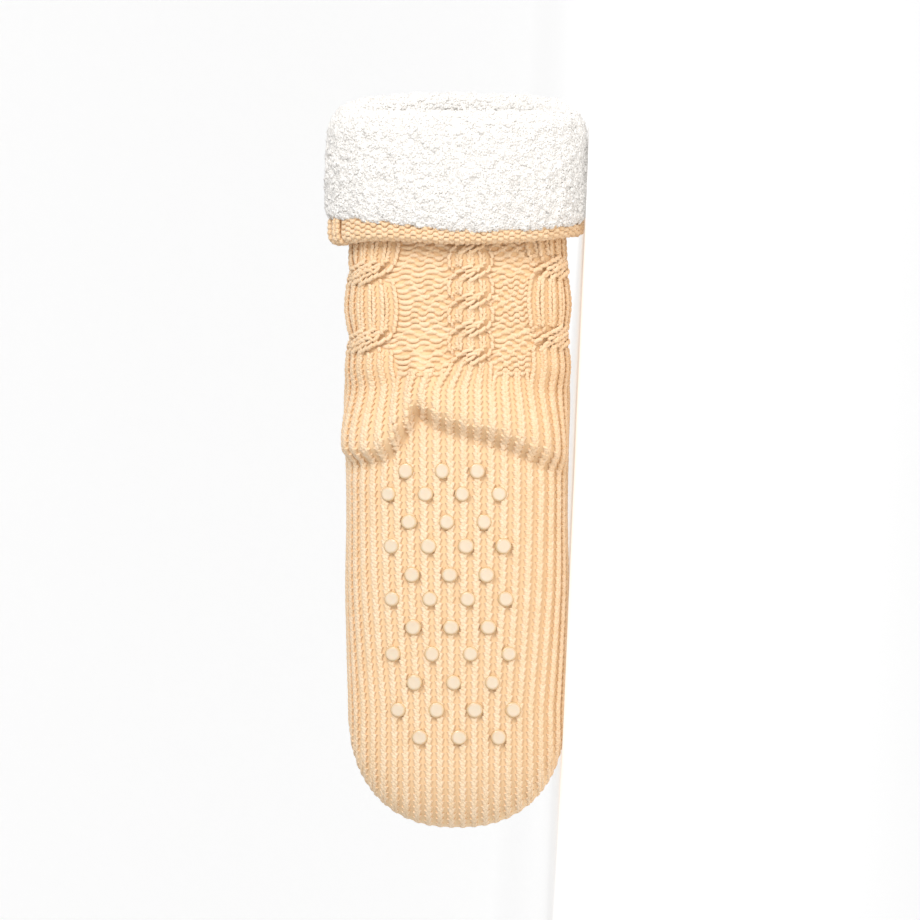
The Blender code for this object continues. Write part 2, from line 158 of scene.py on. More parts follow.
def tube_grid():
    half_width, half_depth, centre, sole, instep = section_sizes(STATIONS)
    angle = np.linspace(0.0, 2 * math.pi, 2 * TURN_STEPS + 1)
    across, up = -np.sin(angle), -np.cos(angle)
    power = 2.0 / np.where(up < 0.0, sole[:, None], instep[:, None])
    z = half_width[:, None] * np.sign(across) * np.abs(across) ** power
    y = centre[:, None] + half_depth[:, None] * np.sign(up) * np.abs(up) ** power
    grid = np.empty((len(STATIONS), TURN_STEPS + 1, 3))
    grid[:, :, 0] = STATIONS[:, None]
    share = np.linspace(0.0, 1.0, TURN_STEPS + 1)
    for i in range(len(STATIONS)):
        reached = np.concatenate([[0.0], np.cumsum(np.hypot(np.diff(y[i]), np.diff(z[i])) + 1e-12)])
        grid[i, :, 1] = np.interp(share, reached / reached[-1], y[i])
        grid[i, :, 2] = np.interp(share, reached / reached[-1], z[i])
    along = np.gradient(grid, axis=0)
    wrapped = np.concatenate([grid[:, -2:-1], grid, grid[:, 1:2]], axis=1)
    around = wrapped[:, 2:] - wrapped[:, :-2]
    normal = unit(np.cross(around, along))
    normal[0] = (-1.0, 0.0, 0.0)
    return grid, normal


TUBE, TUBE_NORMAL = tube_grid()


def on_tube(x, turn):
    """Points of the plain tube, and its outward normals."""
    x, turn = np.broadcast_arrays(np.asarray(x, float), np.asarray(turn, float))
    row = np.clip(np.interp(x, STATIONS, np.arange(len(STATIONS))), 0, len(STATIONS) - 1.001)
    place = (turn % 1.0) * TURN_STEPS
    i, j = row.astype(int), np.clip(place.astype(int), 0, TURN_STEPS - 1)
    a, b = (row - i)[..., None], (place - j)[..., None]

    def read(grid):
        upper = grid[i, j] * (1 - b) + grid[i, j + 1] * b
        lower = grid[i + 1, j] * (1 - b) + grid[i + 1, j + 1] * b
        return upper * (1 - a) + lower * a

    return read(TUBE), unit(read(TUBE_NORMAL))


# How the sock lies. The toe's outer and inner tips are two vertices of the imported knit, one wall apart
# along the sock's own axis, so they give the tilt and the place of the sock on the floor.
def lying_place():
    vertices = np.array([v.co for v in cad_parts["knit_foot_and_leg"].data.vertices])
    tip = vertices[np.argmin(vertices[:, 0])]
    inner = vertices[np.argmin(np.linalg.norm(vertices - tip - (KNIT_WALL, 0.0, 0.0), axis=1))]
    tilt = math.atan2(inner[2] - tip[2], inner[0] - tip[0])
    centre = section_sizes(np.array([0.0]))[2][0]
    return tilt, tip - (0.0, centre, 0.0)


TILT, PLACE = lying_place()
LYING = np.array(
    [[math.cos(TILT), 0.0, -math.sin(TILT)], [0.0, 1.0, 0.0], [math.sin(TILT), 0.0, math.cos(TILT)]]
)


def lay(points):
    """From the sock's own frame to its place on the floor."""
    return points @ LYING.T + PLACE


# The heel. The knit is slack there, and hangs over the sole in one fold that runs nearly the whole way
# across: steeper on its toe side, and dying away slowly up the leg.
HEEL_FOLD_HEIGHT = 0.0080
HEEL_FOLD_LENGTH = 0.036
HEEL_FOLD_OVERHANG = 0.0015
HEEL_TUCK = 0.0012

# Each row: how far round, how far up the leg from the heel the fold's edge lies there, in fold lengths,
# and its share of the fold's height.
HEEL_FOLD = np.array([
    (-0.270, -0.45, 0.00),
    (-0.225, -0.45, 0.06),
    (-0.175, -0.45, 0.70),
    (-0.140, -0.45, 0.90),
    (-0.108, -0.37, 0.90),
    (-0.083, -0.10, 0.90),
    (-0.060, 0.20, 1.00),
    (-0.040, 0.09, 1.00),
    (0.000, -0.05, 1.00),
    (0.040, -0.14, 1.00),
    (0.085, -0.28, 0.95),
    (0.125, -0.44, 0.75),
    (0.165, -0.55, 0.40),
    (0.200, -0.60, 0.10),
    (0.270, -0.60, 0.00),
])


def heel_fold(x, turn):
    """How high the fold stands, and how far it overhangs towards the toe."""
    reach, share = (smooth_curve(HEEL_FOLD[:, 0], part, signed(turn)) for part in HEEL_FOLD.T[1:])
    past = (x - FOOT_LENGTH - reach * HEEL_FOLD_LENGTH) / HEEL_FOLD_LENGTH
    # In fold lengths past its edge: it rises soon and dies away slowly, with a small tuck in front of it.
    height = HEEL_FOLD_HEIGHT * smoothstep(-0.15, 0.13, past) * (1.0 - smoothstep(0.18, 1.0, past))
    tuck = HEEL_TUCK * smoothstep(-0.42, -0.14, past) * (1.0 - smoothstep(-0.14, 0.0, past))
    over = smoothstep(-0.10, 0.13, past) * (1.0 - smoothstep(0.13, 0.80, past))
    return share * (height - tuck), HEEL_FOLD_OVERHANG * share * over


def on_knit(x, turn, lift=0.0):
    """Points of the knit's face, lifted off it along its normal."""
    point, normal = on_tube(x, turn)
    height, over = heel_fold(x, turn)
    raised = point + normal * (height + lift)[..., None]
    raised[..., 0] -= over
    return raised, normal


# The cable chart, once round. A rope of six crosses three over three, a rope of four crosses two over
# two, and columns of purl lie lower between them. Every rope leans the same way. On the sole's half the
# ropes stop above the heel, and the rest of that half is plain.
CABLE_END = 0.025
INSTEP_CABLE_END = 0.064
CUFF_HIDES = 0.104
PLAIN_SIDE = 14

# A rope's middle and spacing are counted in wales. Its crossing, pitch, half turn and lift are metres.
Rope = namedtuple("Rope", "middle stitches spacing crossing pitch half_turn lift")
ROPES = {
    "back_four": Rope(1.05, 4, 0.86, 0.0739, 0.0139, 0.0034, 0.0024),
    "left_six": Rope(-7.6, 6, 0.98, 0.0736, 0.0340, 0.0056, 0.0028),
    "right_six": Rope(8.5, 6, 0.98, 0.0774, 0.0352, 0.0056, 0.0028),
    "front_left_six": Rope(-16.8, 6, 0.98, 0.0760, 0.0346, 0.0056, 0.0028),
    "front_right_six": Rope(17.4, 6, 0.98, 0.0760, 0.0346, 0.0056, 0.0028),
    "front_four": Rope(24.0, 4, 0.90, 0.0739, 0.0139, 0.0034, 0.0024),
}
# Each row has a first and a last slot, and a column of purl has its start and its spacing as well.
CHART = (
    ("front_four", 2, 4),
    ("purl", 0, 2, -22.1, 1.15),
    ("front_left_six", 0, 6),
    ("purl", 0, 3, -13.7, 1.0),
    ("left_six", 0, 6),
    ("purl", 0, 3, -4.4, 1.22),
    ("back_four", 0, 4),
    ("purl", 0, 3, 2.9, 0.86),
    ("right_six", 0, 6),
    ("purl", 0, 3, 11.6, 0.98),
    ("front_right_six", 0, 6),
    ("purl", 0, 2, 20.5, 0.85),
    ("front_four", 0, 2),
)
Wale = namedtuple("Wale", "plain rope slot chart spacing")


def read_chart():
    """A row for each of the 48 wales, and each column of purl with the ropes on its two sides."""
    wales, columns = [], []
    for k, (name, first, last, *purl) in enumerate(CHART):
        rope = ROPES.get(name)
        for slot in range(first, last):
            if purl:
                start, spacing = purl
                place = start + (slot + 0.5) * spacing
            else:
                spacing = rope.spacing
                place = rope.middle + (slot - (rope.stitches - 1) / 2) * spacing
            if place > WALES / 2:
                place -= WALES
            wales.append(Wale(len(wales) - WALES / 2 + 1, rope, slot, place, spacing))
        if purl:
            columns.append((ROPES[CHART[k - 1][0]], ROPES[CHART[k + 1][0]], wales[first - last :]))
    return wales, columns


CHARTED, PURL_COLUMNS = read_chart()

# The stitches. Each knit stitch shows as a V of two yarn legs, its point up the leg and its mouth
# towards the toe. The yarn is soft spun acrylic, two plies, about 2.3 mm thick. In the toe the wales
# run on straight to the toe's edge, as on the real one.
YARN_RADIUS = 0.00116
YARN_FLATNESS = 0.85
YARN_DEPTH = 0.0009
WALE_WIDTH = 0.0063
LONGER_ROUND = 1.035
ROPE_YARN = 0.94
FOOT_ROW = 0.00355
LEG_ROW = 0.00280
PATH_STEP = 0.0003
QUARTER_STEPS = 97

# How far from its wale's middle a leg starts and ends, in wale widths, and past its row, in rows.
V_POINT = 0.250
V_MOUTH = 0.425
V_TUCK = 0.10
V_OVERHANG = 0.14

# Where the halves of a rope cross, one rises and the other sinks, out of sight at the middle.
CROSS_RISE = 0.0016
CROSS_SINK = 0.0030
CROSS_HIDES = 0.30

# A wale spreads up to this much over the slack fold, and its yarn is laid up to this much fatter.
MOST_SPREAD = 1.35
MOST_FATNESS = 1.25


def crossings(rope, end):
    """Where the rope crosses, from the cuff down to its end, as places along the sock."""
    first = FOOT_LENGTH + rope.crossing
    while first + rope.pitch < FOOT_LENGTH + CUFF_HIDES:
        first += rope.pitch
    places = []
    while first > end:
        places.append(first)
        first -= rope.pitch
    return places


def wale_end(wale):
    """Where the charted part of a wale stops."""
    return FOOT_LENGTH + CABLE_END if abs(wale.plain) < PLAIN_SIDE else INSTEP_CABLE_END


def in_chart(x, end):
    """1 where the chart is knitted and 0 where the knit is plain, with a short change between."""
    return smoothstep(end - 0.010, end + 0.004, x)


def breath(share):
    """A rope's width as a share of the chart's: narrow at its crossings, and wide between them."""
    return 0.90 + 0.16 * np.sin(math.pi * share) ** 2


def wale_runs(wale):
    """Runs of one wale between crossings: upper and lower end, and which of them are crossings."""
    top = FOOT_LENGTH + CUFF_HIDES
    if wale.rope is None:
        return [(wale_end(wale), None, 0.0, None)]
    runs = []
    upper, is_crossing = top, False
    for cut in crossings(wale.rope, wale_end(wale) + wale.rope.half_turn):
        if cut < top:
            runs.append((upper, upper if is_crossing else None, cut, cut))
            upper, is_crossing = cut, True
    runs.append((upper, upper if is_crossing else None, 0.0, None))
    return runs


def toe_turns(plain, x):
    """In the toe a wale keeps straight on: the way round where it lies as far across as at the toe's
    start. Past the toe's edge there is no such place."""
    aside = abs(on_tube(TOE_ROUND, plain / WALES)[0][2])
    back = abs(plain) < WALES / 4
    shares = np.linspace(0.0, 0.25, QUARTER_STEPS) + (0.0 if back else 0.25)
    out = np.full(len(x), np.nan)
    for i, place in enumerate(x):
        reach = np.abs(on_tube(place, shares)[0][:, 2])
        order = reach if back else reach[::-1]
        if aside <= order[-1]:
            found = np.interp(aside, order, shares if back else shares[::-1])
            out[i] = math.copysign(found, plain)
    return out


def run_path(wale, run):
    """Places along and round of one run, and how far its yarn is lifted or sunk."""
    upper, up_cross, lower, low_cross = run
    x = np.arange(upper, max(lower, TOE_ROUND), -PATH_STEP)
    charted = in_chart(x, wale_end(wale))
    chart_place = np.full(len(x), wale.chart)
    lift = np.zeros(len(x))
    hidden = np.zeros(len(x), bool)
    if wale.rope is not None:
        rope = wale.rope
        half = rope.stitches / 2
        left = wale.slot < half
        low_at = low_cross if low_cross else x[-1]
        up_at = up_cross if up_cross else x[0]
        between = np.clip((x - low_at) / max(up_at - low_at, 1e-6), 0, 1)
        offset = (wale.slot - half + 0.5) * rope.spacing
        chart_place = wale.chart - offset + offset * breath(between)
        round_up = 1.0 - (abs(wale.slot - half + 0.5) / (half + 0.35)) ** 2
        lift = np.full(len(x), rope.lift * round_up)
        aside = half / 2 * rope.spacing * (1.0 if left else -1.0)
        for cross, over in ((up_cross, left), (low_cross, not left)):
            if not cross:
                continue
            t = np.clip(np.abs(x - cross) / rope.half_turn, 0.0, 1.0)
            chart_place = chart_place + aside * (1.0 - np.sin(math.pi / 2 * t))
            lift = lift + np.cos(math.pi / 2 * t) * (CROSS_RISE if over else -CROSS_SINK)
            if not over:
                hidden |= t < CROSS_HIDES
    turn = (wale.plain + (chart_place - wale.plain) * charted) / WALES
    lift = lift * charted
    if lower < TOE_ROUND:
        # On into the toe, with places closer together towards its edge.
        in_toe = STATIONS < TOE_ROUND
        aside = abs(on_tube(TOE_ROUND, wale.plain / WALES)[0][2])
        edge = float(np.interp(aside, section_sizes(STATIONS[in_toe])[0], STATIONS[in_toe]))
        toe_x = edge + (TOE_ROUND - edge) * np.linspace(1.0, 0.02, 90)[1:] ** 2
        toe_turn = toe_turns(wale.plain, toe_x)
        good = ~np.isnan(toe_turn)
        x = np.concatenate([x, toe_x[good]])
        turn = np.concatenate([turn, toe_turn[good]])
        lift = np.concatenate([lift, np.zeros(good.sum())])
        hidden = np.concatenate([hidden, np.zeros(good.sum(), bool)])
    return x, turn, lift, hidden


def row_pitch(x):
    """The height of a stitch: tall on the foot, and shorter on the leg."""
    return FOOT_ROW + (LEG_ROW - FOOT_ROW) * smoothstep(FOOT_LENGTH - 0.004, FOOT_LENGTH + 0.014, x)


def across_fold(x, turn):
    """The way to the next wale over the heel fold, and how much wider than on the plain leg it is."""
    half = 0.5 / WALES
    folded = on_knit(x, turn - half)[0] - on_knit(x, turn + half)[0]
    plain = on_tube(x, turn - half)[0] - on_tube(x, turn + half)[0]
    wider = np.linalg.norm(folded, axis=1) / np.maximum(np.linalg.norm(plain, axis=1), 1e-9)
    return folded * smoothstep(1.0, 1.03, wider)[:, None], wider


def stitch_points(wale, run):
    """For each stitch of a run, and its end: place, normal, way across, spread, if hidden, and x."""
    x, turn, lift, hidden = run_path(wale, run)
    points, normals = on_knit(x, turn, lift - YARN_DEPTH)
    sideways, wider = across_fold(x, turn)
    step = np.linalg.norm(np.diff(points, axis=0), axis=1)
    slant = np.abs(np.diff(points[:, 2])) / np.maximum(step, 1e-9)
    # Where a rope's yarn runs aslant, its stitches are drawn out.
    stretch = 1.0 + 0.55 * smoothstep(0.5, 0.95, slant) * (x[1:] > TOE_ROUND)
    pitch = row_pitch((x[1:] + x[:-1]) / 2) * stretch
    rows = np.concatenate([[0.0], np.cumsum(step / pitch)])
    at = np.linspace(0.0, rows[-1], max(int(rows[-1]), 1) + 1)

    def read(values):
        return np.stack([np.interp(at, rows, part) for part in values.T], axis=1)

    buried = np.interp(at, rows, hidden.astype(float)) > 0.5
    along, wider = np.interp(at, rows, x), np.interp(at, rows, wider)
    return read(points), unit(read(normals)), read(sideways), wider, buried, along


def euler_of(across, along, normal):
    """Rotation angles, on the floor, of frames given by their three axes in the sock's own frame."""
    across, along, normal = across @ LYING.T, along @ LYING.T, normal @ LYING.T
    turn_y = -np.arcsin(np.clip(across[:, 2], -1.0, 1.0))
    turn_x = np.arctan2(along[:, 2], normal[:, 2])
    turn_z = np.arctan2(across[:, 1], across[:, 0])
    return np.stack([turn_x, turn_y, turn_z], axis=1)


random = np.random.default_rng(20)
Legs = namedtuple("Legs", "place turned size")


def legs_between(start, end, normal, bow_side, width, depth):
    """Yarn legs laid from start to end, bowed to one side and arched off the knit."""
    along = (end - start) * np.reshape(bow_side, (-1, 1))
    length = np.linalg.norm(along, axis=1)
    along = unit(along)
    normal = unit(normal - along * np.sum(normal * along, axis=1, keepdims=True))
    across = np.cross(along, normal)
    size = np.stack([width, length, depth], axis=1)
    return Legs(lay((start + end) / 2), euler_of(across, along, normal), size)


def picked(legs, keep):
    return Legs(*(part[keep] for part in legs))


def wale_width(x, wale):
    """How wide its stitches are: their share of the way round, which is longer than an ellipse's."""
    half_width, half_depth = section_sizes(np.maximum(x, TOE_ROUND))[:2]
    around = math.pi * np.sqrt(2 * (half_width**2 + half_depth**2)) * LONGER_ROUND
    return around / WALES * (1.0 + (wale.spacing * ROPE_YARN - 1.0) * in_chart(x, wale_end(wale)))


def knit_legs(wale, run):
    """The two legs of every stitch in a run, and where along the sock each stitch is."""
    points, normals, sideways, wider, buried, along = stitch_points(wale, run)
    if len(points) < 2:
        return [], np.zeros(0)
    base, tip = points[:-1], points[1:]
    normal = unit(normals[:-1] + normals[1:])
    ahead = unit(tip - base)
    sideways = sideways[:-1] + sideways[1:]
    sideways = sideways - ahead * np.sum(sideways * ahead, axis=1, keepdims=True)
    on_fold = np.clip(np.linalg.norm(sideways, axis=1) / WALE_WIDTH, 0.0, 1.0)[:, None]
    across = unit(unit(np.cross(ahead, normal)) * (1.0 - on_fold) + unit(sideways) * on_fold)
    normal = unit(np.cross(across, ahead))
    pitch = np.linalg.norm(tip - base, axis=1)
    width = wale_width(along[:-1], wale) * np.clip(wider[:-1], 1.0, MOST_SPREAD)
    keep = ~(buried[:-1] | buried[1:])
    made = []
    for side in (-1.0, 1.0):
        start = base - ahead * (V_TUCK * pitch)[:, None] + across * (side * width * V_POINT)[:, None]
        end = tip + ahead * (V_OVERHANG * pitch)[:, None] + across * (side * width * V_MOUTH)[:, None]
        fat = np.minimum(width / WALE_WIDTH, MOST_FATNESS) * random.uniform(0.95, 1.05, len(base))
        legs = legs_between(start, end, normal, side, fat, fat * YARN_FLATNESS)
        made.append(picked(legs, keep))
    return made, along[:-1][keep]


def rope_edge(rope, side, x):
    """A rope's edge in wales: it breathes between crossings and draws in at each of them."""
    from_crossing = (x - FOOT_LENGTH - rope.crossing) / rope.pitch
    near = np.abs(from_crossing - np.round(from_crossing)) * rope.pitch / rope.half_turn
    drawn_in = 0.42 * np.cos(math.pi / 2 * np.clip(near / 1.5, 0.0, 1.0)) ** 2
    return rope.middle + side * rope.stitches / 2 * rope.spacing * (breath(from_crossing) - drawn_in)


PURL_DEPTH = 0.0015
PURL_ROW = 0.98
PURL_REACH = 0.32


def purl_legs(left, right, wales):
    """One column of purl between two ropes: heads bowed one way, and the yarn between them the other."""
    end = wale_end(wales[0])
    x = [FOOT_LENGTH + CUFF_HIDES]
    while x[-1] > end:
        x.append(x[-1] - float(row_pitch(np.array(x[-1]))) * PURL_ROW)
    x = np.array(x)
    plain = wales[0].plain - 0.5
    low = plain + (rope_edge(left, 1.0, x) - plain + WALES / 2) % WALES - WALES / 2
    high = low + (rope_edge(right, -1.0, x) - low) % WALES
    charted = in_chart(x, end)
    width = 1.0 + ((high - low) / len(wales) - 1.0) * charted
    first = plain + (low - plain) * charted
    made = []
    for k in range(len(wales)):
        for shift, side in ((0.5, 1.0), (1.0, -1.0)):
            centre, reach = first + (k + shift) * width, PURL_REACH * width
            # The first head and the last yarn between heads reach in under the ropes beside them.
            if shift == 0.5 and k == 0:
                centre, reach = centre - 0.12 * width, 0.46 * width
            if shift == 1.0 and k == len(wales) - 1:
                centre, reach = centre + 0.02 * width, 0.34 * width
            start, normal = on_knit(x, (centre - reach) / WALES, -PURL_DEPTH)
            finish, _ = on_knit(x, (centre + reach) / WALES, -PURL_DEPTH)
            fat = random.uniform(0.84, 0.94, len(x))
            made.append(legs_between(start, finish, normal, side, fat, fat))
    return made


def joined(parts):
    return Legs(*(np.concatenate([p[k] for p in parts]) for k in range(3)))


def add_node(tree, kind, links=None, **settings):
    """Adds a node, sets it up, and fills or links its inputs. A node stands for its first output."""
    node = tree.nodes.new(kind)
    for name, value in settings.items():
        setattr(node, name, value)
    for socket, value in (links or {}).items():
        if isinstance(value, bpy.types.Node):
            value = value.outputs[0]
        if isinstance(value, bpy.types.NodeSocket):
            tree.links.new(value, node.inputs[socket])
        else:
            node.inputs[socket].default_value = value
    return node


def new_tree(name, **inputs):
    """A Geometry Nodes tree: the tree, a way to add nodes to it, and its inputs by their names."""
    tree = bpy.data.node_groups.new(name, "GeometryNodeTree")
    tree.interface.new_socket("geometry", in_out="OUTPUT", socket_type="NodeSocketGeometry")
    for label, kind in inputs.items():
        tree.interface.new_socket(label, in_out="INPUT", socket_type="NodeSocket" + kind)
    add = partial(add_node, tree)
    return tree, add, add("NodeGroupInput").outputs


def lay_shape(add, given, shape, **laying):
    """Lays a shape on every point, makes the copies real and gives them the tree's material."""
    smooth = add("GeometryNodeSetShadeSmooth", {"Geometry": shape})
    laid = add("GeometryNodeInstanceOnPoints", {"Instance": smooth, **laying})
    real = add("GeometryNodeRealizeInstances", {"Geometry": laid})
    done = add("GeometryNodeSetMaterial", {"Geometry": real, "Material": given["material"]})
    add("NodeGroupOutput", {0: done})


def lay_on_places(add, given, shape):
    """Lays a shape on the places, turned and sized by what each of them carries."""
    turned = add("GeometryNodeInputNamedAttribute", {"Name": "turned"}, data_type="FLOAT_VECTOR")
    size = add("GeometryNodeInputNamedAttribute", {"Name": "size"}, data_type="FLOAT_VECTOR")
    rotation = add("FunctionNodeEulerToRotation", {0: turned})
    lay_shape(add, given, shape, Points=given["places"], Rotation=rotation, Scale=size)


def yarn_leg_tree(sides, rings):
    """A tree that lays one yarn leg on every point: a bowed, tapered tube with closed ends."""
    tree, add, given = new_tree(
        "yarn_legs", places="Geometry", yarn_radius="Float", bow="Float", arch="Float", taper="Float",
        material="Material",
    )
    bow = add("ShaderNodeCombineXYZ", {"X": given["bow"], "Z": given["arch"]})
    ends = {"Start": (0.0, -0.5, 0.0), "Middle": bow, "End": (0.0, 0.5, 0.0)}
    curve = add("GeometryNodeCurveQuadraticBezier", {"Resolution": rings, **ends})
    factor = add("GeometryNodeSplineParameter")
    middle = add("ShaderNodeMath", {0: factor, 1: 0.5}, operation="SUBTRACT")
    square = add("ShaderNodeMath", {0: middle, 1: middle}, operation="MULTIPLY")
    thinner = add("ShaderNodeMath", {0: square, 1: given["taper"]}, operation="MULTIPLY")
    radius = add("ShaderNodeMath", {0: 1.0, 1: thinner}, operation="SUBTRACT")
    circle = add("GeometryNodeCurvePrimitiveCircle", {"Resolution": sides, "Radius": given["yarn_radius"]})
    sweep = {"Curve": curve, "Profile Curve": circle, "Scale": radius, "Fill Caps": True}
    tube = add("GeometryNodeCurveToMesh", sweep)
    inside = add("GeometryNodeInputPosition")
    marks = {"Geometry": tube, "Name": "in_yarn", "Value": inside}
    marked = add("GeometryNodeStoreNamedAttribute", marks, data_type="FLOAT_VECTOR", domain="POINT")
    lay_on_places(add, given, marked)
    return tree


FLOOR_GAP = 0.00005


def add_piece(name, mesh, material):
    """Adds a mesh as a piece. What would lie below the floor is pressed flat on it."""
    co = np.zeros(len(mesh.vertices) * 3, np.float32)
    mesh.vertices.foreach_get("co", co)
    co[2::3] = np.maximum(co[2::3], FLOOR_GAP)
    mesh.vertices.foreach_set("co", co)
    mesh.update()
    if not mesh.materials:
        mesh.materials.append(material)
    piece = bpy.data.objects.new(name, mesh)
    bpy.context.scene.collection.objects.link(piece)
    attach(piece, "root")
    return piece


def run_tree(name, given_mesh, tree, slot, material, **inputs):
    """Runs the tree on a mesh, with its inputs set by their identifiers, and keeps what it makes."""
    holder = bpy.data.objects.new(name + "_holder", given_mesh)
    bpy.context.scene.collection.objects.link(holder)
    modifier = holder.modifiers.new(name, "NODES")
    modifier.node_group = tree
    inputs["material"] = material
    for item in tree.interface.items_tree:
        if item.in_out == "INPUT" and item.name in inputs:
            modifier[item.identifier] = inputs[item.name]
    evaluated = holder.evaluated_get(bpy.context.evaluated_depsgraph_get())
    mesh = bpy.data.meshes.new_from_object(evaluated)
    mesh.name = name
    bpy.data.objects.remove(holder, do_unlink=True)
    return add_piece(name, mesh, material)


def lay_yarn(name, legs, tree, slot, material, **sizes):
    """Lays the tree's shape on the legs' places, each with a tone of its own."""
    places = bpy.data.meshes.new(name + "_places")
    places.from_pydata(legs.place.tolist(), [], [])
    for label, values in (("turned", legs.turned), ("size", legs.size)):
        layer = places.attributes.new(label, "FLOAT_VECTOR", "POINT")
        layer.data.foreach_set("vector", values.astype(np.float32).ravel())
    layer = places.attributes.new("tone", "FLOAT", "POINT")
    layer.data.foreach_set("value", random.uniform(0.0, 1.0, len(legs.place)).astype(np.float32))
    return run_tree(name, places, tree, slot, material, **sizes)


def linear(colour):
    """sRGB hex to linear."""
    channels = [int(colour[i : i + 2], 16) / 255 for i in (1, 3, 5)]
    return tuple(c / 12.92 if c <= 0.04045 else ((c + 0.055) / 1.055) ** 2.4 for c in channels) + (1.0,)


def new_material(name):
    """An empty material, and a way to add nodes to it."""
    material = bpy.data.materials.new(name)
    material.use_nodes = True
    material.node_tree.nodes.clear()
    return material, partial(add_node, material.node_tree)


# Soft spun acrylic yarn, dyed butter cream. Each leg has a tone between two near ones, a fine bump gives
# it hairs and the twist of its two plies, and a faint sheen keeps it soft. From the heel up it is painted a
# touch deeper: painted shade, for the leg's knit that faces a little away from the light.
YARN_LIGHT = "#F9DEBD"
YARN_DEEP = "#F3D4AD"
PAINTED_LEG_SHADE = "#FDF9F3"
TWISTS_IN_LEG = 3.0
HAIR_SIZE = 1 / 1400


def acrylic_yarn(name, light, deep):
    material, add = new_material(name)
    tone = add("ShaderNodeAttribute", attribute_name="tone")
    tones = {0: tone.outputs["Fac"], 6: linear(deep), 7: linear(light)}
    mixed = add("ShaderNodeMix", tones, data_type="RGBA")
    where = add("ShaderNodeTexCoord").outputs["Object"]
    place = add("ShaderNodeSeparateXYZ", {0: where})
    # Painted shade: from the heel up, the yarn's colour is multiplied by a slightly deeper one.
    painted_shade_up_leg = add("ShaderNodeMapRange", {"Value": place, "From Min": 0.005, "From Max": 0.045})
    painted_light_inputs = {0: painted_shade_up_leg, 6: mixed.outputs[2], 7: linear(PAINTED_LEG_SHADE)}
    with_painted_shade = add("ShaderNodeMix", painted_light_inputs, data_type="RGBA", blend_type="MULTIPLY")
    fuzz = add("ShaderNodeTexNoise", {"Vector": where, "Scale": 1 / HAIR_SIZE, "Detail": 2.0})
    in_yarn = add("ShaderNodeAttribute", attribute_name="in_yarn")
    apart = add("ShaderNodeSeparateXYZ", {0: in_yarn.outputs["Vector"]})
    angle = add("ShaderNodeMath", {0: apart, 1: apart.outputs[2]}, operation="ARCTAN2")
    plies = add("ShaderNodeMath", {0: angle, 1: 2.0}, operation="MULTIPLY")
    turns = {0: apart.outputs[1], 1: TWISTS_IN_LEG * 2 * math.pi, 2: plies}
    twist = add("ShaderNodeMath", turns, operation="MULTIPLY_ADD")
    ridges = add("ShaderNodeMath", {0: twist}, operation="SINE")
    height = add("ShaderNodeMath", {0: fuzz, 1: 0.9, 2: ridges}, operation="MULTIPLY_ADD")
    bump = add("ShaderNodeBump", {"Strength": 0.4, "Distance": 0.00022, "Height": height})
    shader = add("ShaderNodeBsdfPrincipled", {
        "Base Color": with_painted_shade.outputs[2], "Roughness": 0.85, "Specular IOR Level": 0.25,
        "Sheen Weight": 0.25, "Sheen Roughness": 0.5, "Normal": bump,
    })
    add("ShaderNodeOutputMaterial", {0: shader})
    return material


YARN = acrylic_yarn("butter_cream_acrylic_yarn", YARN_LIGHT, YARN_DEEP)
LEG_TREE = yarn_leg_tree(6, 4)

sole, instep, leg_back, leg_front = [], [], [], []
for wale in CHARTED:
    on_sole = abs(wale.plain) < WALES / 4
    for run in wale_runs(wale):
        made, x = knit_legs(wale, run)
        # The foot's pieces end on the heel fold, and the leg's begin there.
        low = x < FOOT_LENGTH + CABLE_END * 0.4
        for legs in made:
            (sole if on_sole else instep).append(picked(legs, low))
            (leg_back if on_sole else leg_front).append(picked(legs, ~low))
purl = [legs for column_of_purl in PURL_COLUMNS for legs in purl_legs(*column_of_purl)]

PURL_FATNESS = 1.27
PURL_YARN = YARN_RADIUS * PURL_FATNESS
KNIT_SIZES = {"yarn_radius": YARN_RADIUS, "bow": 0.0011, "arch": 0.0006, "taper": 0.5}
PURL_SIZES = {"yarn_radius": PURL_YARN, "bow": 0.0022, "arch": 0.0017, "taper": 1.0}
for name, parts, sizes in (
    ("sole_stitches", sole, KNIT_SIZES),
    ("instep_stitches", instep, KNIT_SIZES),
    ("leg_back_stitches", leg_back, KNIT_SIZES),
    ("leg_front_stitches", leg_front, KNIT_SIZES),
    ("purl_stitches", purl, PURL_SIZES),
):
    lay_yarn(name, joined(parts), LEG_TREE, "knit", YARN, **sizes)


# The ground of the knit. Between the legs of the stitches the eye meets the yarn that passes behind
# them, painted a shade deeper than the knit as painted shade. It is one closed shell under the stitches and
# stands for the solid.
GROUND_DEPTH = 0.0012
WALE_HOLLOW = 0.0004
TOE_RIM_RAISE = 0.0008
GROUND_ROW = 0.0026
GROUND_WALL = 1.1 * KNIT_WALL


def grid_mesh(name, rows, closed_rows=False, tips=()):
    """A mesh from rows of points that go once round, closed by a tip at either end."""
    count = len(rows[0])
    vertices = [tuple(p) for row in rows for p in row]
    faces = []
    for r in range(len(rows) if closed_rows else len(rows) - 1):
        below = (r + 1) % len(rows)
        for c in range(count):
            after = (c + 1) % count
            faces.append((r * count + c, r * count + after, below * count + after, below * count + c))
    for tip, start, way in zip(tips, (0, (len(rows) - 1) * count), (-1, 1)):
        vertices.append(tuple(tip))
        for c in range(count):
            edge = (start + c, start + (c + 1) % count)
            faces.append((len(vertices) - 1, *edge[::way]))
    mesh = bpy.data.meshes.new(name)
    mesh.from_pydata(vertices, [], faces)
    work = bmesh.new()
    work.from_mesh(mesh)
    bmesh.ops.recalc_face_normals(work, faces=work.faces)
    work.to_mesh(mesh)
    work.free()
    mesh.shade_smooth()
    return mesh


def cable_end(turn):
    return np.where(np.abs(signed(turn)) * WALES < PLAIN_SIDE, FOOT_LENGTH + CABLE_END, INSTEP_CABLE_END)


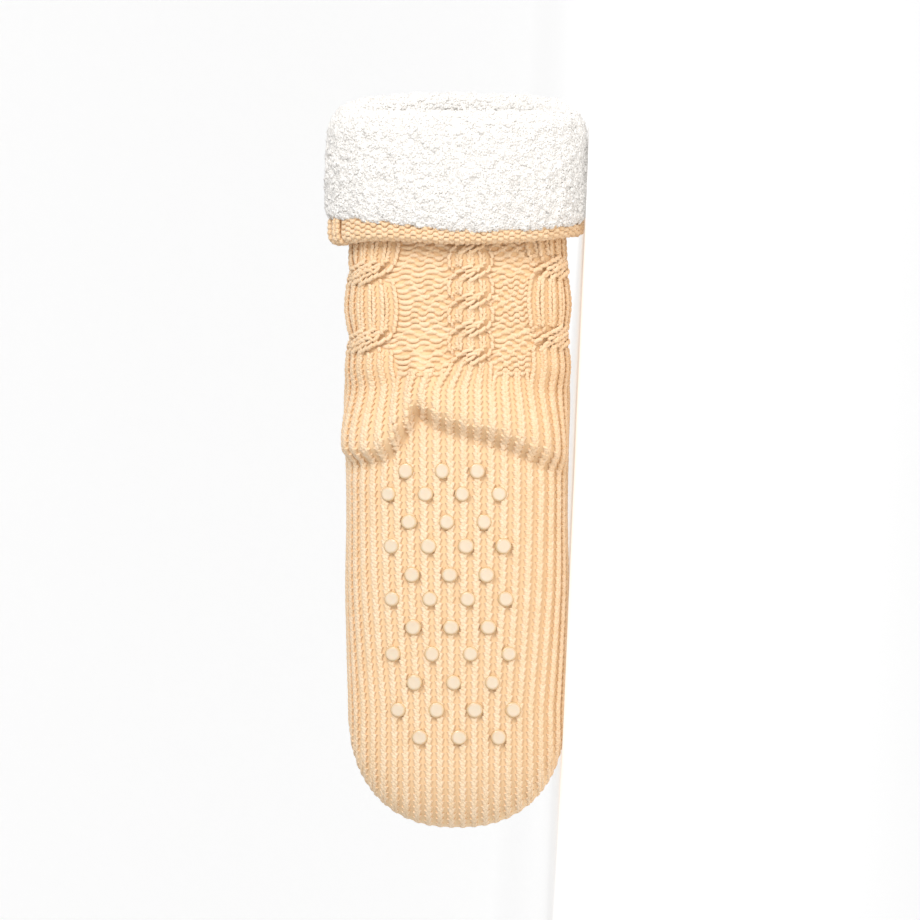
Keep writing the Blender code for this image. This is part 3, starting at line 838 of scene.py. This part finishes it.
def rope_bulk(x, turn):
    """The ground swells a little under each rope."""
    wale = signed(turn) * WALES
    swell = np.zeros(np.shape(wale))
    for rope in ROPES.values():
        off = (wale - rope.middle + WALES / 2) % WALES - WALES / 2
        half = np.abs(rope_edge(rope, 1.0, x) - rope.middle) + 0.2
        swell = np.maximum(swell, rope.lift * np.clip(1.0 - (off / half) ** 2, 0.0, 1.0))
    return swell * in_chart(x, cable_end(turn))


def wale_hollow(x, turn, point):
    """1 down the middle of each plain wale, between the legs of its stitches, and -1 between wales."""
    shares = np.linspace(0.0, 0.25, QUARTER_STEPS)
    aside = np.abs(on_tube(TOE_ROUND, shares)[0][:, 2])
    in_back = np.interp(np.abs(point[:, 2]), aside, shares)
    return np.cos(2 * math.pi * WALES * np.where(x < TOE_ROUND, in_back, turn))


def make_ground():
    turn = np.arange(4 * WALES) / (4 * WALES)
    toe = TOE_ROUND * np.linspace(0.04, 1.0, 36) ** 2
    rest = np.arange(TOE_ROUND, FOOT_LENGTH + LEG_LENGTH, GROUND_ROW)[1:]
    rows = []
    for x in np.concatenate([toe, rest]):
        point, normal = on_tube(x, turn)
        # The toe's rim, where the sole turns round to the instep, is raised to meet its stitches.
        at_rim = 1.0 - smoothstep(0.35, 0.75, np.abs(normal[:, 1]))
        raised = TOE_RIM_RAISE * at_rim * (1.0 - smoothstep(0.5 * TOE_ROUND, TOE_ROUND, x))
        plain = (1.0 - smoothstep(-0.014, -0.004, x - cable_end(turn))) * (1.0 - at_rim * (x < TOE_ROUND))
        hollow = WALE_HOLLOW * plain * wale_hollow(x, turn, point)
        points, _ = on_knit(x, turn, rope_bulk(x, turn) + raised - hollow - GROUND_DEPTH)
        rows.append(lay(points))
    # The inner face, back down to the toe, needs far fewer rows.
    for x in np.concatenate([rest[::-6], toe[::-4]]):
        point, normal = on_tube(x, turn)
        rows.append(lay(point - normal * GROUND_WALL))
    centre = section_sizes(np.array([0.0]))[2][0]
    tips = [lay(np.array([depth, centre, 0.0])) for depth in (GROUND_DEPTH, GROUND_WALL)]
    return grid_mesh("knit_ground", rows, tips=tips)


# The same yarn where it passes behind, in one tone painted a shade deeper: painted shade, which parts the
# stitches for the eye.
GROUND_PAINTED_SHADE = "#F2D2A8"
GROUND = acrylic_yarn("acrylic_yarn_with_painted_shade", GROUND_PAINTED_SHADE, GROUND_PAINTED_SHADE)
ground = add_piece("knit_ground", make_ground(), GROUND)
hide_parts("knit_foot_and_leg")


# The hem. The last rows of the knit are turned out round the lower edge of the cuff. They show their
# purl side, as rows of small waves, with two narrow ribs of plain knit near one side.
CUFF_DROP = 0.055
HEM_HEIGHT = 0.0100
COLLAR_SLANT = 0.0165
HEM_STITCHES = 60
HEM_START = 0.0050
HEM_ROW = 0.0027
HEM_ROWS = 8
HEM_RIBS = (46, 48)
WAVE_DEPTH = 0.0012
RIB_DEPTH = 0.0002
HEM_GROUND_DEPTH = 0.0014
TANGENT_STEP = 0.0008

# Each row: how far round, then the hem's lower edge, its band and the collar's lip, as shares of the
# cuff's drop, the hem's height and the collar's slant.
CUFF_RIM = np.array([
    (-0.50, 0.10, 1.00, 1.00),
    (-0.36, 0.10, 1.20, 0.85),
    (-0.25, -0.02, 1.55, 0.42),
    (-0.19, -0.035, 1.42, 0.24),
    (-0.12, -0.015, 1.10, 0.17),
    (-0.06, -0.033, 0.90, 0.15),
    (0.00, -0.053, 0.80, 0.15),
    (0.06, -0.045, 0.74, 0.15),
    (0.12, -0.020, 0.74, 0.17),
    (0.17, 0.016, 0.78, 0.21),
    (0.21, 0.040, 1.00, 0.29),
    (0.25, 0.050, 1.50, 0.42),
    (0.36, 0.10, 1.15, 0.85),
    (0.50, 0.10, 1.00, 1.00),
])


def rim(turn):
    """The hem's lower edge, the top of its band and the knit's turn at the collar."""
    edge, band, lip = (smooth_curve(CUFF_RIM[:, 0], part, signed(turn)) for part in CUFF_RIM.T[1:])
    top = FOOT_LENGTH + LEG_LENGTH
    edge = top - CUFF_DROP * (1.0 - edge)
    return edge, edge + HEM_HEIGHT * band, top + COLLAR_SLANT * lip


# The hem's own section, as rise above its edge and height off the leg: up its hidden side, round its
# lower edge and up its face.
HEM_FACE = np.array([
    (0.0090, 0.0022), (0.0040, 0.0022), (0.0016, 0.0040), (0.0012, 0.0070), (0.0022, 0.0095),
    (0.0046, 0.0106), (0.0200, 0.0106),
])


def lengths_along(path):
    return np.concatenate([[0.0], np.cumsum(np.hypot(*np.diff(path, axis=0).T))])


def on_hem(along, turn, lift):
    """Points along the hem's section and round the hem, lifted off it, and its outward normals."""
    reached = lengths_along(HEM_FACE)

    def read(at):
        return np.array([np.interp(at, reached, part) for part in HEM_FACE.T])

    rise, off = read(along)
    tangent = read(along + TANGENT_STEP) - read(along - TANGENT_STEP)
    tangent_x, tangent_out = tangent / np.hypot(*tangent)
    point, normal = on_tube(rim(turn)[0] + rise, turn)
    axis = np.zeros_like(normal)
    axis[..., 0] = 1.0
    out = unit(normal * tangent_x[..., None] - axis * tangent_out[..., None])
    return point + normal * off[..., None] + out * lift, out


def hem_yarn():
    """Waves of purl row by row, each row a continuous yarn, and the ribs of plain knit between them."""
    waves, ribs = [], []
    stitch = 1.0 / HEM_STITCHES
    for row in range(HEM_ROWS):
        for k in range(HEM_STITCHES):
            if k in HEM_RIBS:
                continue
            for shift, side in ((0.5, 1.0), (1.0, -1.0)):
                waves.append((HEM_START + row * HEM_ROW, (k + shift) * stitch, 0.33 * stitch, side))
    along, centre, reach, side = np.array(waves).T
    start, normal = on_hem(along, centre - reach, -WAVE_DEPTH)
    finish, _ = on_hem(along, centre + reach, -WAVE_DEPTH)
    fat = random.uniform(0.80, 0.92, len(along))
    made = [legs_between(start, finish, normal, side, fat, fat)]
    for row in range(HEM_ROWS):
        for k in HEM_RIBS:
            for side in (-1.0, 1.0):
                ribs.append((HEM_START + (row - 0.5) * HEM_ROW, (k + 0.5) * stitch, side))
    along, centre, side = np.array(ribs).T
    start, normal = on_hem(along - 0.2 * HEM_ROW, centre + side * 0.12 * stitch, -RIB_DEPTH)
    finish, _ = on_hem(along + 1.2 * HEM_ROW, centre + side * 0.28 * stitch, -RIB_DEPTH)
    fat = np.full(len(along), 0.90)
    made.append(legs_between(start, finish, normal, side, fat, fat))
    return joined(made)


HEM_SIZES = {"yarn_radius": PURL_YARN, "bow": 0.0020, "arch": 0.0018, "taper": 1.0}
lay_yarn("hem_stitches", hem_yarn(), LEG_TREE, "knit", YARN, **HEM_SIZES)


def make_hem_ground():
    """The hem's knit behind its yarn: a ring, closed above under the fleece."""
    turn = np.arange(160) / 160
    rows = []
    for along in np.linspace(0.0, lengths_along(HEM_FACE)[-1], 26):
        rows.append(lay(on_hem(np.full(len(turn), along), turn, -HEM_GROUND_DEPTH)[0]))
    return grid_mesh("hem_ground", rows, closed_rows=True)


# The hem's ground takes the same yarn painted a shade deeper, as painted shade between its waves.
add_piece("hem_ground", make_hem_ground(), GROUND)


# The fleece. Sherpa is a polyester pile, curled and brushed so that it stands in small soft nubs. The
# real one is sewn to the knit at the hem and turned down with it, over the fold and into the collar.
CUFF_GAP = 0.0010
KNIT_OFF = CUFF_GAP + KNIT_WALL + 0.0003
PILE_OUTSIDE = 0.0088
PILE_ON_FOLD = 0.0075
PILE_INSIDE = 0.0065
LINING_DEPTH = 0.024
NUB_SIZE = 0.0030
NUB_HEIGHT = 0.0011
SECTION_STEPS = 96


def fleece_section(turn):
    """The fleece's own section as points along and off the leg, from its lower edge over the fold."""
    _, band, collar = rim(turn)
    # Outside, inside and on top, the surface lies a little under the tips of the curls.
    out = KNIT_OFF + PILE_OUTSIDE - 0.0012
    deep = -KNIT_WALL - PILE_INSIDE + 0.0008
    top = collar + PILE_ON_FOLD - 0.0006
    end = collar - LINING_DEPTH
    sag = (collar - band) / 4
    return [
        (band + 0.0020, KNIT_OFF),
        (band - 0.0004, KNIT_OFF + 0.0030),
        (band - 0.0006, out - 0.0012),
        (band + 0.0016, out),
        (band + sag, out + 0.0006),
        (band + 2 * sag, out + 0.0003),
        (band + 3 * sag, out - 0.0006),
        (collar - 0.0010, out - 0.0018),
        (collar + 0.0040, out - 0.0050),
        (top, 0.0030),
        (top + 0.0002, -0.0010),
        (collar + 0.0030, deep + 0.0010),
        (collar - 0.0050, deep),
        (collar - 0.0140, deep),
        (end, deep + 0.0006),
        (end - 0.0010, -KNIT_WALL - 0.0020),
        (end + 0.0030, -KNIT_WALL - 0.0003),
        (collar - 0.0010, -KNIT_WALL - 0.0003),
        (collar + 0.0004, -0.0010),
        (collar + 0.0004, CUFF_GAP),
        (collar - 0.0010, KNIT_OFF),
    ]


def fleece_sections(turns):
    """The fleece's section at each turn, its corners cut twice to round it, and evenly stepped."""
    sections = []
    for turn in turns:
        shape = np.array(fleece_section(turn))
        for _ in range(2):
            following = np.roll(shape, -1, axis=0)
            near, far = 0.75 * shape + 0.25 * following, 0.25 * shape + 0.75 * following
            shape = np.stack([near, far], axis=1).reshape(-1, 2)
        loop = np.vstack([shape, shape[:1]])
        reached = lengths_along(loop)
        wanted = np.linspace(0.0, reached[-1], SECTION_STEPS + 1)[:-1]
        sections.append(np.stack([np.interp(wanted, reached, part) for part in loop.T], axis=1))
    return np.array(sections)


def make_fleece(turns, sections):
    points, normals = on_tube(sections[:, :, 0], turns[:, None])
    points = points + normals * sections[:, :, 1, None]
    around = np.roll(points, -1, axis=0) - np.roll(points, 1, axis=0)
    along = np.roll(points, -1, axis=1) - np.roll(points, 1, axis=1)
    out = unit(np.cross(around, along))
    rough = [
        noise.noise(Vector(p / NUB_SIZE)) + 0.6 * noise.noise(Vector(p / (2.6 * NUB_SIZE)))
        for p in points.reshape(-1, 3)
    ]
    points = points + out * NUB_HEIGHT * np.array(rough).reshape(points.shape[:2])[..., None]
    rows = [lay(points[:, s]) for s in range(SECTION_STEPS)]
    return grid_mesh("sherpa_fleece", rows, closed_rows=True)


# White polyester pile, not brightened: quite matt, with a fine grain, and paler where it turns away,
# because of the loose ends that catch the light there.
PILE_WHITE = "#F0EDE9"
PILE_GRAIN = 1 / 900


def sherpa_fleece(name, colour):
    material, add = new_material(name)
    where = add("ShaderNodeTexCoord").outputs["Object"]
    pile = add("ShaderNodeTexNoise", {"Vector": where, "Scale": 1 / PILE_GRAIN, "Detail": 3.0})
    bump = add("ShaderNodeBump", {"Strength": 0.25, "Distance": 0.0005, "Height": pile})
    shader = add("ShaderNodeBsdfPrincipled", {
        "Base Color": linear(colour), "Roughness": 0.95, "Specular IOR Level": 0.2,
        "Sheen Weight": 0.3, "Sheen Roughness": 0.6, "Normal": bump,
    })
    add("ShaderNodeOutputMaterial", {0: shader})
    return material


FLEECE = sherpa_fleece("white_sherpa_fleece", PILE_WHITE)
fleece_turns = np.arange(320) / 320
fleece_shape = fleece_sections(fleece_turns)
fleece_base = add_piece("sherpa_fleece", make_fleece(fleece_turns, fleece_shape), FLEECE)
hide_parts("sherpa_cuff")


def curl_tree():
    """A tree that strews small curls of pile over a face, each turned its own way."""
    tree, add, given = new_tree(
        "pile_curls", face="Geometry", spacing="Float", curl_radius="Float", strand_radius="Float",
        seed="Int", material="Material",
    )
    spread = {"Mesh": given["face"], "Distance Min": given["spacing"], "Density Max": 4.0e6}
    spread["Seed"] = given["seed"]
    strewn = add("GeometryNodeDistributePointsOnFaces", spread, distribute_method="POISSON")
    bend = {"Start Radius": given["curl_radius"], "End Radius": given["curl_radius"], "Height": 0.0}
    curl = add("GeometryNodeCurveSpiral", {"Resolution": 6, "Rotations": 0.8, **bend})
    ring = add("GeometryNodeCurvePrimitiveCircle", {"Resolution": 4, "Radius": given["strand_radius"]})
    strand = add("GeometryNodeCurveToMesh", {"Curve": curl, "Profile Curve": ring, "Fill Caps": True})
    most = {"Min": (-0.3, -0.3, -3.1), "Max": (0.3, 0.3, 3.1), "Seed": 3}
    tip = add("FunctionNodeRandomValue", most, data_type="FLOAT_VECTOR")
    tipped = add("FunctionNodeEulerToRotation", {0: tip})
    tilts = {"Rotation": strewn.outputs["Rotation"], "Rotate By": tipped}
    turned = add("FunctionNodeRotateRotation", tilts, rotation_space="LOCAL")
    size = add("FunctionNodeRandomValue", {2: 0.75, 3: 1.25, "Seed": 5}, data_type="FLOAT")
    lay_shape(add, given, strand, Points=strewn, Rotation=turned, Scale=size.outputs[1])
    return tree


def part_of(mesh, keep, name):
    """A copy of some of a mesh's faces."""
    work = bmesh.new()
    work.from_mesh(mesh)
    gone = [face for face, kept in zip(work.faces, keep) if not kept]
    bmesh.ops.delete(work, geom=gone, context="FACES")
    copy = bpy.data.meshes.new(name)
    work.to_mesh(copy)
    work.free()
    return copy


# A face of the fleece's mesh is one step of the section at one turn, row by row.
collar = rim(fleece_turns)[2][:, None]
along, off = fleece_shape[:, :, 0], fleece_shape[:, :, 1]
against_knit = (off < KNIT_OFF + 0.0008) & (off > -KNIT_WALL - 0.0010) & (along < collar + 0.0012)
outside = (off > 0.0) & (along < collar + 0.0030) & ~against_knit
CURLS = curl_tree()
CURL_SIZES = {"spacing": 0.0021, "curl_radius": 0.00085, "strand_radius": 0.00080}
for name, chosen, seed in (
    ("sherpa_curls_outside", outside, 4),
    ("sherpa_curls_at_collar", ~outside & ~against_knit, 5),
):
    face = part_of(fleece_base.data, chosen.T.ravel(), name + "_face")
    run_tree(name, face, CURLS, "fleece", FLEECE, seed=seed, **CURL_SIZES)


# The lining. The same fleece runs on down inside the leg and foot, loose against the knit. It is seen
# only through the collar, so its nubs are drawn in its surface alone.
LINING_PILE = 0.0030
LINING_TOE = 0.012
LINING_LAP = 0.006


def make_lining():
    turn = np.arange(100) / 100
    outer, inner = [], []
    first, last = LINING_TOE, rim(turn)[2] - LINING_DEPTH + LINING_LAP
    for left in np.linspace(1.0, 0.0, 70) ** 1.5:
        place = last - left * (last - first)
        point, normal = on_tube(place, turn)
        half_depth = section_sizes(place)[1]
        gap = np.minimum(KNIT_WALL * 1.2, 0.5 * half_depth)
        pile = np.minimum(LINING_PILE, 0.3 * half_depth)
        rough = [noise.noise(Vector(p) / (1.6 * NUB_SIZE)) for p in point]
        outer.append(lay(point - normal * gap[:, None]))
        inner.append(lay(point - normal * (gap + pile + NUB_HEIGHT * np.array(rough))[:, None]))
    # Both faces run together to a point at the toe, so that the lining is closed there.
    for rows, nearer_collar in ((outer, 0.0), (inner, LINING_PILE)):
        middle = rows[0].mean(axis=0)
        rows.insert(0, middle + 0.02 * (rows[0] - middle) + np.array([nearer_collar, 0.0, 0.0]))
    return grid_mesh("fleece_lining", outer + inner[::-1], closed_rows=True)


add_piece("fleece_lining", make_lining(), FLEECE)


# The grip dots. Drops of clear silicone, printed on the sole and cured there, so each has a round
# shoulder and a soft flat top, and its foot has run a little way down between the stitches.
DOT_DIAMETER = 0.0080
DOT_HEIGHT = 0.0017
DOT_SKIRT = 0.0026
DOT_NODES = sorted(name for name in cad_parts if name.startswith("grip_dot_"))


def drop_tree():
    """A tree that sets a drop on every point: flat on top, round at its shoulder, with a short skirt."""
    tree, add, given = new_tree(
        "grip_drops", places="Geometry", radius="Float", height="Float", skirt="Float", material="Material"
    )
    ball = add("GeometryNodeMeshUVSphere", {"Segments": 24, "Rings": 14, "Radius": 1.0})
    apart = add("ShaderNodeSeparateXYZ", {0: add("GeometryNodeInputPosition")})
    along, across, up = apart.outputs
    flat = add("ShaderNodeCombineXYZ", {"X": along, "Y": across})
    reach = add("ShaderNodeVectorMath", {0: flat}, operation="LENGTH").outputs["Value"]
    # Above, the ball's side is pushed out to a round shoulder, and below it goes straight down.
    safe = add("ShaderNodeMath", {0: reach, 1: 0.001}, operation="MAXIMUM")
    below = add("ShaderNodeMath", {0: up, 1: 0.0}, operation="LESS_THAN")
    bend = add("ShaderNodeMath", {0: below, 1: -0.58, 2: -0.42}, operation="MULTIPLY_ADD")
    wider = add("ShaderNodeMath", {0: safe, 1: bend}, operation="POWER")
    spread = add("ShaderNodeMath", {0: wider, 1: given["radius"]}, operation="MULTIPLY")
    x = add("ShaderNodeMath", {0: along, 1: spread}, operation="MULTIPLY")
    y = add("ShaderNodeMath", {0: across, 1: spread}, operation="MULTIPLY")
    # The top is pressed down in its middle, which leaves it nearly flat.
    upper = add("ShaderNodeMath", {0: up, 1: 0.0}, operation="MAXIMUM")
    lower = add("ShaderNodeMath", {0: up, 1: 0.0}, operation="MINIMUM")
    steep = add("ShaderNodeMath", {0: upper, 1: 6.0}, operation="POWER")
    dimple = add("ShaderNodeMath", {0: steep, 1: -0.35, 2: 1.0}, operation="MULTIPLY_ADD")
    dimpled = add("ShaderNodeMath", {0: upper, 1: dimple}, operation="MULTIPLY")
    rise = add("ShaderNodeMath", {0: dimpled, 1: given["height"]}, operation="MULTIPLY")
    drop = add("ShaderNodeMath", {0: lower, 1: given["skirt"]}, operation="MULTIPLY")
    z = add("ShaderNodeMath", {0: rise, 1: drop})
    moved = add("ShaderNodeCombineXYZ", {"X": x, "Y": y, "Z": z})
    marks = {"Geometry": ball, "Name": "from_middle", "Value": reach}
    marked = add("GeometryNodeStoreNamedAttribute", marks, data_type="FLOAT", domain="POINT")
    lay_on_places(add, given, add("GeometryNodeSetPosition", {"Geometry": marked, "Position": moved}))
    return tree


def dot_places():
    """Each dot's place and normal, from the middle of the node that it stands for."""
    points, normals = [], []
    turns = np.linspace(-0.22, 0.22, 441)
    for name in DOT_NODES:
        low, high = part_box(name)
        middle = np.array([(a + b) / 2 for a, b in zip(low, high)])
        in_sock = (middle - PLACE) @ LYING
        surface, normal = on_tube(in_sock[0], turns)
        near = np.argmin(np.linalg.norm(surface - in_sock, axis=1))
        points.append(surface[near])
        normals.append(normal[near])
    return np.array(points), np.array(normals)


# Silicone, half clear. It is pale in its thick middle, partly as a painted highlight, and at its thin rim it
# takes the knit's own shade seen through it and a painted shade deeper. Light goes some way into it, and its
# smooth skin gives one soft highlight on each shoulder.
SILICONE_MIDDLE_WITH_PAINTED_HIGHLIGHT = "#E9D8C0"
SILICONE_RIM_WITH_PAINTED_SHADE = "#D8B88A"


def clear_silicone(name, thick, thin):
    material, add = new_material(name)
    reach = add("ShaderNodeAttribute", attribute_name="from_middle").outputs["Fac"]
    # Darker towards the rim and paler in the middle: partly the knit seen through, partly painted shade and
    # painted highlight.
    at_rim = add("ShaderNodeMapRange", {"Value": reach, "From Min": 0.45, "From Max": 0.9})
    painted_light_inputs = {0: at_rim, 6: linear(thick), 7: linear(thin)}
    shade = add("ShaderNodeMix", painted_light_inputs, data_type="RGBA")
    shader = add("ShaderNodeBsdfPrincipled", {
        "Base Color": shade.outputs[2], "Roughness": 0.25, "IOR": 1.41, "Subsurface Weight": 0.5,
        "Subsurface Radius": (1.0, 0.8, 0.6), "Subsurface Scale": 0.001,
        "Coat Weight": 0.6, "Coat Roughness": 0.12,
    })
    add("ShaderNodeOutputMaterial", {0: shader})
    return material


SILICONE = clear_silicone("clear_cream_silicone", SILICONE_MIDDLE_WITH_PAINTED_HIGHLIGHT, SILICONE_RIM_WITH_PAINTED_SHADE)
points, normals = dot_places()
across = unit(np.cross(normals, (0.0, 0.0, 1.0)))
turned = euler_of(across, np.cross(normals, across), normals)
# No two drops are quite the same width, either way across, or the same height.
SPREADS = ((0.94, 1.06), (0.94, 1.06), (0.85, 1.1))
size = np.stack([random.uniform(low, high, len(points)) for low, high in SPREADS])
DOT_SIZES = {"radius": DOT_DIAMETER / 2, "height": DOT_HEIGHT, "skirt": DOT_SKIRT}
drops = Legs(lay(points), turned, size.T)
dots = lay_yarn("grip_dots", drops, drop_tree(), "silicone", SILICONE, **DOT_SIZES)
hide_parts(*DOT_NODES)


# The floor and the light of a plain studio. The floor is a lit white sheet that curves up into the
# backdrop far behind, so that shadows on it stay soft and pale. It is matt, with no highlight, and
# glows a little of itself.
FLOOR_COLOUR = "#F4F4F4"
FLOOR_GLOW = 0.36
FLOOR_REACH = 3.4
BEND_RADIUS = 1.5


def make_stage():
    bend = np.linspace(0.1, math.pi / 2, 14)
    profile = [(-6.0, 0.0), (FLOOR_REACH, 0.0)]
    profile += [(FLOOR_REACH + BEND_RADIUS * math.sin(a), BEND_RADIUS * (1.0 - math.cos(a))) for a in bend]
    profile.append((FLOOR_REACH + BEND_RADIUS, 6.0))
    vertices = [(x, y, z) for y, z in profile for x in (-6.0, 6.0)]
    faces = [(2 * k, 2 * k + 1, 2 * k + 3, 2 * k + 2) for k in range(len(profile) - 1)]
    mesh = bpy.data.meshes.new("floor")
    mesh.from_pydata(vertices, [], faces)
    mesh.shade_smooth()
    material, add = new_material("lit_white_acrylic_sheet")
    shader = add("ShaderNodeBsdfPrincipled", {
        "Base Color": linear(FLOOR_COLOUR), "Roughness": 0.9, "Specular IOR Level": 0.0,
        "Emission Color": linear(FLOOR_COLOUR), "Emission Strength": FLOOR_GLOW,
    })
    add("ShaderNodeOutputMaterial", {0: shader})
    mesh.materials.append(material)
    floor = bpy.data.objects.new("floor", mesh)
    bpy.context.scene.collection.objects.link(floor)
    floor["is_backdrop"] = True


make_stage()

# One large soft light in front, above the collar's end, and an even white room round it.
KEY_PLACE = Vector((1.15, -1.4, 0.65))
KEY_SIZE = 0.8
KEY_POWER = 22.0
ROOM_WHITE = 0.58
light = bpy.data.lights.new("key", "AREA")
light.size = KEY_SIZE
light.energy = KEY_POWER
lamp = bpy.data.objects.new("key", light)
lamp.location = KEY_PLACE
lamp.visible_camera = False
lamp.rotation_mode = "QUATERNION"
lamp.rotation_quaternion = (Vector((cad_box[0] + cad_box[1]) / 2) - KEY_PLACE).to_track_quat("-Z", "Y")
bpy.context.scene.collection.objects.link(lamp)
world = bpy.data.worlds.new("studio")
world.use_nodes = True
world.node_tree.nodes["Background"].inputs["Color"].default_value = (1.0, 1.0, 1.0, 1.0)
world.node_tree.nodes["Background"].inputs["Strength"].default_value = ROOM_WHITE
bpy.context.scene.world = world
bpy.context.scene.view_settings.view_transform = "Standard"

# The camera looks square at the sole, and is rolled so that the toe points down the picture. Its aim,
# in the sock's own frame, is the middle of the photo's frame, which is this wide there.
PHOTO_MIDDLE = (0.1855, 0.0, -0.0015)
CAMERA_DISTANCE = 2.8
FRAME_SIZE = 0.466
SENSOR_MM = 36.0

aim = lay(np.array(PHOTO_MIDDLE))
camera = bpy.data.cameras.new("camera")
camera.sensor_width = SENSOR_MM
camera.lens = SENSOR_MM * CAMERA_DISTANCE / FRAME_SIZE
eye = bpy.data.objects.new("camera", camera)
eye.location = (aim[0], -CAMERA_DISTANCE, aim[2])
eye.rotation_euler = (math.pi / 2, math.pi / 2 - TILT, 0.0)
bpy.context.scene.collection.objects.link(eye)
bpy.context.scene.camera = eye

sizes = {"cad": [list(corner) for corner in cad_box], "visual": [list(corner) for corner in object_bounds()]}
